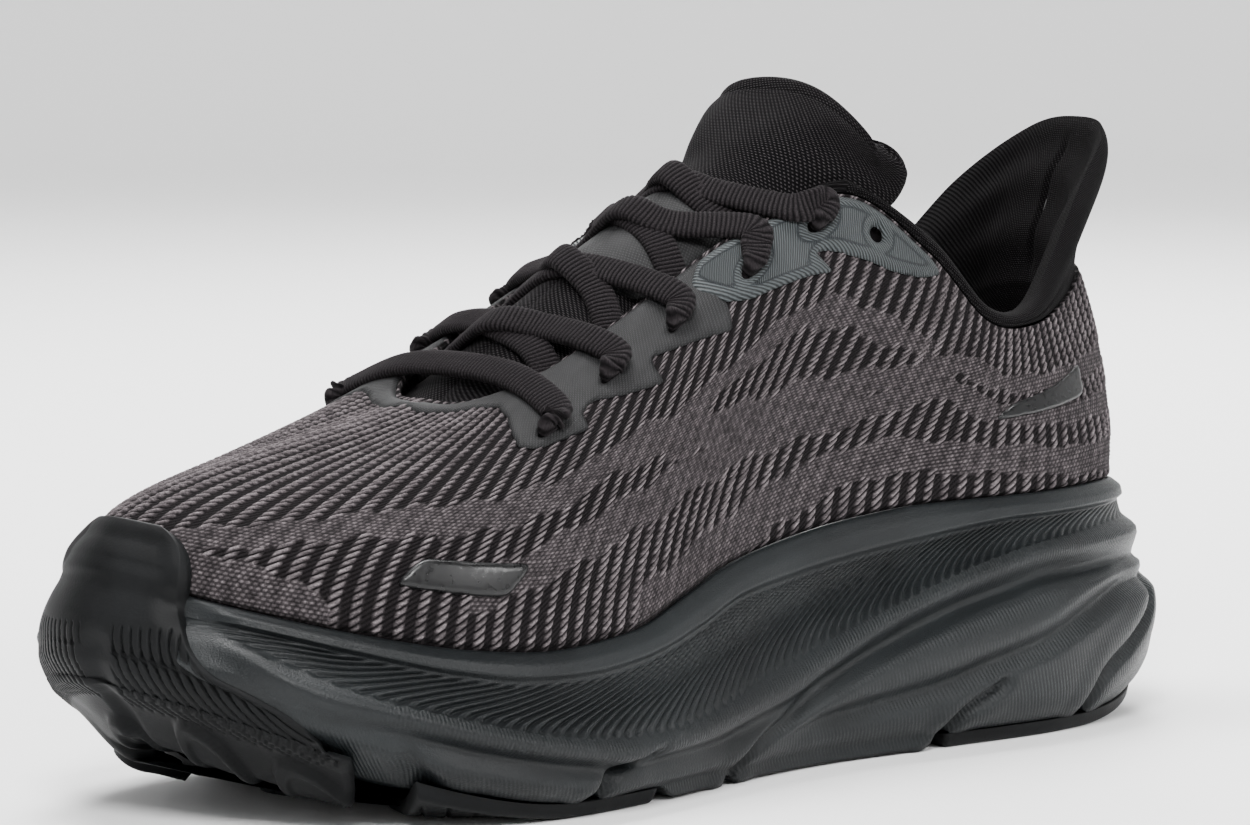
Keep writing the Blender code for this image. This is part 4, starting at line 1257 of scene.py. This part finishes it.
def make_tongue(body, top):
    """Mesh tongue with its padded free top, bending between the two."""
    rows, columns = 161, 105
    w, u = np.linspace(0, 1, rows), np.linspace(-1, 1, columns)
    square = tongue_surface(w, u)
    lowered = w[:, None] * (1 - 0.075 * np.abs(u)[None] ** 2.6 * ramp(0.6, 1.0, w)[:, None])
    face = np.stack([[np.interp(lowered[:, j], w, square[:, j, i]) for i in range(3)]
                     for j in range(len(u))], 0).transpose(2, 0, 1)
    for _ in range(60):
        around = face[100:, :-2] + face[100:, 2:] - 2 * face[100:, 1:-1]
        face[100:, 1:-1] += 0.25 * around * ramp(0.62, 0.72, w[100:])[:, None, None]
    gone = length_along(face[:, columns // 2])
    height = np.broadcast_to(gone[:, None], face.shape[:2])
    side = np.broadcast_to(u[None], face.shape[:2])
    padded = ramp(HINGE_W - 0.06, HINGE_W + 0.04, w)[:, None]
    full = 3.0 + 1.9 * padded
    top_edge = (1 - w)[:, None] * gone[-1]
    side_edge = (1 - np.abs(u))[None] * 24
    edge = np.minimum(top_edge, side_edge)
    roundness = np.sqrt(np.clip(edge / 2.6, 0.004, 1))
    roll = padded * 0.9 * bump(top_edge - 5.0, 5.0)
    quilt = 0.35 * padded * np.sin(np.pi * np.clip(edge / 14, 0, 1))
    groove = 0.5 * padded * bump(top_edge - 10.5, 1.2)
    arch = ARCH * 4 * np.abs(side) * (1 - np.abs(side)) * ramp(0.72, 0.60, w)[:, None]
    outer = offset(face, arch + (roll + quilt - groove) * ramp(0, 3, edge)
                   - (1 - roundness) * full / 2)
    inner = offset(face, -full + (1 - roundness) * full / 2 - 0.35)
    points, faces = shell(outer, inner, 1)
    count = inner.shape[0] * inner.shape[1]
    uv = np.stack([side * 24, height], -1).reshape(-1, 2)
    made = piece("tongue_cushion", points, faces, body,
                 ("tongue_body", "tongue_top_face", "tongue_top_padding", "tongue_top_lining"),
                 uv=np.vstack([uv, uv]),
                 values={"smooth": np.r_[np.broadcast_to(padded, side.shape).ravel(),
                                         np.ones(count)]})
    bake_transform(made)
    w = np.linspace(0.36, 0.60, 41)
    u = np.linspace(-0.42, 0.42, 41)
    place = tongue_surface(w, u)
    x, y = np.meshgrid(u / 0.42, (w - 0.48) / 0.12)
    round_out = np.clip(1 - np.maximum(np.abs(x) ** 4 + np.abs(y) ** 6, 0), 0, 1)
    wavy = 0.12 * np.sin(7 * y + 2 * x) * round_out
    arch = ARCH * 4 * np.abs(u) * (1 - np.abs(u)) * np.ones((len(w), 1))
    face = offset(place, arch - 0.4 + 1.1 * np.sqrt(round_out) + wavy)
    sheet_piece("tongue_film", face, 0.5, top, ("tongue_patch",))


def make_sockliner(finish):
    """The insole's cloth face, slightly raised round its edge."""
    s = np.linspace(0.004, 0.496, 121)
    q = np.linspace(0, 1, 49)
    ends = []
    for t in (s, 1 - s):
        x = outline(t)[:, 0]
        inset = rim(t)[1] + LEDGE + 3.0
        ends.append(sole_point(t, inset, table(FOOTBED, x) + GAP + 1.2 + GAP))
    grid = ends[0][:, None] * (1 - q)[None, :, None] + ends[1][:, None] * q[None, :, None]
    edge = np.minimum(q, 1 - q)[None] * np.linalg.norm(ends[1] - ends[0], axis=-1)[:, None]
    lift = 4.0 * np.sqrt(np.clip(edge / 1.2, 0, 1)) - 0.9 * ramp(1.5, 9, edge)
    grid = grid + UP * lift[..., None]
    sheet_piece("sockliner_cloth", grid, 3.0, finish, ("sockliner",))


# ---------------------------------------------------------------- rubber

TOE_LEFT = [(-5, 0.390), (6, 0.396), (14, 0.402), (23.3, 0.413), (29.9, 0.431), (34, 0.445),
            (40.9, 0.456), (48, 0.462), (56, 0.462)]
BUMPER_TOP = 0.232
BUMPER_START = 0.012                    # how high the bumper starts on the upper's skin
TOE_ROWS = (34, 70, 60)                 # under the toe, up its front, on the knit
TOE_COLUMNS = 321
TOE_FRONT_ROW = 60
TOE_VALLEY_T = 0.488                    # the smooth valley between the two sets of cuts
CUT_PITCH, CUT_DEPTH = 2.2, 0.8
TOE_LUGS = [(-104, -24, 12, 6.5), (-118, -8, 11, 6), (-120, 12, 11, 6), (-104, 30, 12, 6.5),
            (-98, 4, 12, 7)]            # middle (x, y) and half sizes of the ovals under the toe


def toe_span(left, right=None):
    """t across the rubber, from its lateral edge to its medial one."""
    if right is None:
        right = 1 - left + 0.02 * ramp(0.43, 0.46, left)
    return left + (right - left) * np.linspace(0, 1, TOE_COLUMNS)


def toe_heights(t, share):
    """Height at a share of the way up the toe's front."""
    low, high = underside(outline(t)[..., 0], 3) + 1.0, rim(t)[0] + 0.4
    return low + (high - low) * share


def toe_rows():
    """t and the place of each point of the rubber's back."""
    rows = []
    for far, left in zip(np.linspace(26, 3, TOE_ROWS[0]), np.linspace(0.392, 0.398, TOE_ROWS[0])):
        t = toe_span(left)
        z = underside(outline(t)[..., 0], far) + 0.35 * max(6 - far, 0) ** 1.5
        rows.append((t, sole_point(t, far, z)))
    for h in np.linspace(0.04, 1, TOE_ROWS[1]):
        left = 0.40
        for _ in range(6):
            left = float(table(TOE_LEFT, toe_heights(np.array([left]), h))[0])
        t = toe_span(left)
        z = toe_heights(t, h)
        front = table([(0, 4.6), (0.12, 2.6), (0.3, 1.4), (0.5, 1.5), (0.75, 3.0), (1, 6.0)], h)
        side = profile(t, z) * ramp(0, 0.25, h) + 2.6 * ramp(0.3, 0, h)
        share = ramp(0.0, 0.012, np.minimum(t - left, 1 - left - t + 0.012))
        rows.append((t, sole_point(t, side + (front - side) * share, z)))
    for v in np.linspace(0.0, 1, TOE_ROWS[2]):
        arch = 1 - math.sqrt(max(0.0, 1 - v ** 2.4))
        t = toe_span(0.460 + 0.027 * arch, 0.538 - 0.033 * arch)
        thick = 0.2 + 2.2 * ramp(0.75, 0.0, v)
        rows.append((t, layer(t, BUMPER_TOP * v + BUMPER_START, thick)))
    tt, base = (np.array(values) for values in zip(*rows))
    for _ in range(80):     # rounds the step where the bumper leaves the front
        base[84:124] += 0.25 * (base[83:123] + base[85:125] - 2 * base[84:124])
    return tt, base


def toe_lift(tt, base, aside):
    """Thickness of the rubber, with its cuts, valley, dish and ovals. aside is the distance
    round the toe from its valley."""
    z = base[..., 2]
    row = np.arange(len(base))[:, None]
    lean = 0.030 * np.clip(43 - z, 0, 40) ** 2
    phase = np.where(aside < 0, -aside - lean, aside + 0.6 * lean) / CUT_PITCH
    stripe = np.abs((phase % 1.0) - 0.5) * 2
    side_gap = np.minimum(tt - tt[:, :1], tt[:, -1:] - tt) * 520
    zone = ramp(4.0, 4.8, np.abs(aside)) * ramp(43.5, 42.8, z + 0.05 * np.abs(aside))
    zone = zone * ramp(1.6, 2.4, side_gap) * ramp(15.5, 16.5, z) * (row > 26)
    cut = -CUT_DEPTH * zone * ramp(0.70, 0.90, stripe)
    valley = -1.3 * bump(aside, 5.5) * ramp(44, 38, z) * ramp(10, 18, z)
    step = np.linspace(0, 1, TOE_COLUMNS)
    wide = np.linalg.norm(np.diff(base, axis=1), axis=-1).sum(1)[:, None]
    rise = length_along(base[:, TOE_COLUMNS // 2])[:, None]
    gap = np.minimum(np.minimum(step, 1 - step) * wide, np.minimum(rise[-1] - rise, row * 1.5))
    thick = 1.1 + 0.6 * ramp(98, 112, row)
    dish = -0.6 * ramp(2.5, 6.5, gap) * ramp(108, 122, row)
    lift = -1.2 + (thick + 1.2) * np.sqrt(np.clip(gap / 1.6, 0, 1)) + cut + valley + dish
    for x, y, long, wide in TOE_LUGS:
        out = np.hypot((base[..., 0] - x) / long, (base[..., 1] - y) / wide)
        oval = 1.5 * ramp(1.05, 0.9, out) - 0.8 * ramp(0.72, 0.6, out)
        lift = lift + oval * (row < TOE_ROWS[0])
    return lift


def toe_rubber(finish):
    """Toe rubber: from under the toe, up its front, over the rim on to the knit."""
    tt, base = toe_rows()
    normal = grid_normal(base)
    if np.sum(normal[TOE_FRONT_ROW] * level_out(tt[TOE_FRONT_ROW])) < 0:
        normal = -normal
    knots = np.linspace(0.35, 0.65, 601)
    s_round = np.interp(tt, knots, length_along(outline(knots)))
    centre = np.interp(TOE_VALLEY_T, knots, length_along(outline(knots)))
    outer = base + normal * toe_lift(tt, base, s_round - centre)[..., None]
    middle = base.shape[1] // 2
    rise = length_along(base[:, middle])[:, None]
    uv = np.stack([s_round, np.broadcast_to(rise, s_round.shape)], -1)
    face = facing_out(quads(*outer.shape[:2]), outer, normal, TOE_FRONT_ROW, middle)
    made = piece("toe_rubber", outer.reshape(-1, 3), face, finish,
                 ("toe_bumper", "toe_pad_lateral", "toe_pad_medial", "toe_pad_tip"),
                 uv=uv.reshape(-1, 2))
    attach(made, "shoe")


def ground_pad(name, t0, t1, near, far, finish, stands_for):
    """A rubber pad under the sole's edge, with grooves across its face."""
    t = np.linspace(t0, t1, 121)
    inset = np.linspace(near, far, 61)
    tt, ii = np.meshgrid(t, inset)
    flat = sole_point(tt, ii, 0.0)
    z = underside(flat[..., 0], ii)
    s = np.broadcast_to(length_along(flat[0])[None], tt.shape)
    edge = np.minimum(np.minimum(ii - near, far - ii), np.minimum(s, s[:, -1:] - s))
    groove = np.abs(((s + 0.35 * ii) / 6.5) % 1.0 - 0.5) * 2
    fine = np.abs(((s - 0.6 * ii) / 2.1) % 1.0 - 0.5) * 2
    z = z + 0.9 * ramp(0.82, 0.94, groove) * ramp(2.0, 3.2, edge)
    z = z + 0.3 * ramp(0.7, 0.95, fine) * ramp(2, 3, edge)
    z = z + (PAD_THICKNESS - 0.2) * (1 - np.sqrt(np.clip(edge / 1.1, 0, 1)))
    flat[..., 2] = z
    top = flat.copy()[::STEP, ::STEP]
    top[..., 2] = underside(top[..., 0], ii[::STEP, ::STEP]) + PAD_THICKNESS
    points, faces = shell(flat, top, STEP)
    made = piece(name, points, faces, finish, stands_for)
    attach(made, "shoe")


def ground_lug(name, x, y, long, wide, finish, stands_for):
    """An oval rubber ring under the forefoot."""
    angle = np.linspace(0, 2 * math.pi, 97)
    radii = np.array([0.33, 0.35, 0.37, 0.45, 0.55, 0.62, 0.66, 0.7, 0.78, 0.88, 0.94, 0.98, 1.0])
    low = np.array([3.2, 1.0, 0.2, 0.0, 0.0, 0.1, 0.6, 0.1, 0.0, 0.0, 0.2, 1.0, 3.2])
    px = x + long * radii[:, None] * np.cos(angle)
    py = y + wide * radii[:, None] * np.sin(angle)
    teeth = 0.4 * ramp(0.3, 0.8, np.cos(angle * 24))[None] * bump(radii - 0.84, 0.08)[:, None]
    grid = np.stack([px, py, ground(px) + low[:, None] + teeth], -1)
    face = quads(*grid.shape[:2], flip=True)
    made = piece(name, grid.reshape(-1, 3), face, finish, stands_for)
    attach(made, "shoe")


def make_rubber(finish):
    toe_rubber(finish)
    for side, sign in (("lateral", 1), ("medial", -1)):
        ground_pad(f"heel_rubber_{side}", sign * 0.050, sign * 0.155, 6, 30, finish,
                   (f"heel_pad_{side}",))
        ground_pad(f"forefoot_rubber_{side}", sign * 0.270, sign * 0.372, 6, 33, finish,
                   (f"forefoot_pad_{side}",))
    ground_pad("heel_rubber_rear", -0.043, 0.043, 6, 24, finish, ("heel_pad_rear",))
    for place, x, y, long, wide in (("rear", -32, -2, 13, 9), ("middle", -61, -1, 13, 10),
                                    ("front", -88, 2, 11, 9)):
        ground_lug(f"oval_lug_{place}", x, y, long, wide, finish, (f"forefoot_lug_{place}",))


INNER_LOOKS = [     # CAD nodes, then their material's name, colour, roughness and grain size
    (("collar_foam_lateral", "collar_foam_medial", "heel_foam", "heel_tab_foam"),
     "cut_foam", (0.05, 0.05, 0.05), 0.9, 1.2),
    (("heel_counter", "toe_puff"), "stiff_sheet", (0.03, 0.03, 0.03), 0.6, 0.8),
    (("strobel_board",), "pressed_board", (0.12, 0.11, 0.10), 0.9, 1.5),
    (("tongue_gusset_lateral", "tongue_gusset_medial"),
     "stretch_web", (0.012, 0.012, 0.012), 0.85, 2.0),
]


def finish_inner(names, finish):
    """A procedural finish on CAD nodes that stay: all are inside the shoe."""
    for name in names:
        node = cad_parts[name]
        node.data.materials.clear()
        node.data.materials.append(finish)


# ---------------------------------------------------------------- camera, light and floor

CAMERA_AZIMUTH, CAMERA_ELEVATION = math.radians(-42), math.radians(6)
CAMERA_AIM, CAMERA_DISTANCE = (-0.0040, 0.0017, 0.0775), 1.2
CAMERA_LENS, CAMERA_SENSOR = 154.7, 36
LIGHTS = [      # name, place, size, power and what it points at, in metres and watts
    ("key", (-0.75, -0.75, 1.15), 0.5, 30, (0, 0, 0.06)),
    ("front", (0.35, -1.35, 0.75), 0.6, 16, (0, 0, 0.06)),
    ("rear", (0.95, 0.8, 0.95), 0.5, 20, (0, 0, 0.06)),
    ("top", (-0.1, 0.35, 1.3), 0.6, 22, (0, 0, 0.06)),
    ("backdrop", (0.5, 0.3, 1.7), 0.8, 40, (1.3, 1.4, 0.5)),
]
WORLD_LIGHT = 0.30
FLOOR_RADIUS, WALL_TURN, WALL_HEIGHT, WALL_SIDES = 2.2, 1.0, 4.0, 64


def make_camera():
    azimuth, elevation = CAMERA_AZIMUTH, CAMERA_ELEVATION
    back = Vector((math.sin(azimuth) * math.cos(elevation), -math.cos(azimuth) * math.cos(elevation),
                   math.sin(elevation)))
    data = bpy.data.cameras.new("camera")
    data.sensor_width, data.sensor_fit = CAMERA_SENSOR, "HORIZONTAL"
    data.lens = CAMERA_LENS
    data.clip_start, data.clip_end = 0.05, 20
    camera = bpy.data.objects.new("camera", data)
    camera.location = Vector(CAMERA_AIM) + back * CAMERA_DISTANCE
    camera.rotation_euler = back.to_track_quat("Z", "Y").to_euler()
    bpy.context.scene.collection.objects.link(camera)
    bpy.context.scene.camera = camera


def make_light(name, place, size, energy, aim):
    data = bpy.data.lights.new(name, "AREA")
    data.shape, data.size, data.energy = "DISK", size, energy
    light = bpy.data.objects.new(name, data)
    light.location = place
    light.rotation_euler = (Vector(place) - Vector(aim)).to_track_quat("Z", "Y").to_euler()
    bpy.context.scene.collection.objects.link(light)


def make_studio():
    world = bpy.data.worlds.new("studio")
    world.use_nodes = True
    world.node_tree.nodes["Background"].inputs[0].default_value = (1, 1, 1, 1)
    world.node_tree.nodes["Background"].inputs[1].default_value = WORLD_LIGHT
    bpy.context.scene.world = world
    for light in LIGHTS:
        make_light(*light)
    run = [(0.0, 0.0), (FLOOR_RADIUS, 0.0)]
    run += [(FLOOR_RADIUS + WALL_TURN * math.sin(a), WALL_TURN * (1 - math.cos(a)))
            for a in np.linspace(0.1, 1.57, 14)]
    run.append((FLOOR_RADIUS + WALL_TURN, WALL_HEIGHT))
    turns = np.linspace(0, 2 * math.pi, WALL_SIDES + 1)
    points = [(d * math.cos(a), d * math.sin(a), z) for a in turns for d, z in run]
    mesh = bpy.data.meshes.new("floor")
    mesh.from_pydata(points, [], quads(WALL_SIDES + 1, len(run)).tolist())
    mesh.shade_smooth()
    floor = bpy.data.objects.new("floor", mesh)
    floor.location = (0, 0, -0.0002)
    floor.data.materials.append(make_material("floor_paint", (0.9, 0.9, 0.9), 0.95))
    bpy.context.scene.collection.objects.link(floor)


make_camera()
make_studio()
COLLAR_CLOTH = woven_material("collar_jersey", (0.0022, 0.0020, 0.0022), (0.020, 0.018, 0.019), 0.62)
TONGUE_CLOTH = woven_material("tongue_jersey", (0.0028, 0.0025, 0.0028), (0.040, 0.036, 0.038), 0.62)
LINER_CLOTH = woven_material("sockliner_cloth", (0.006, 0.006, 0.006), (0.018, 0.018, 0.018), 0.7)
FILM = film_material()
make_knit(knit_material())
make_midsole(foam_material())
make_rubber(rubber_material())
make_overlays(FILM, embroidery_material(), gloss_material())
make_lace(lace_material())
make_collar(COLLAR_CLOTH)
make_tongue(TONGUE_CLOTH, FILM)
make_sockliner(LINER_CLOTH)
for names, *look in INNER_LOOKS:
    finish_inner(names, plain_material(*look))
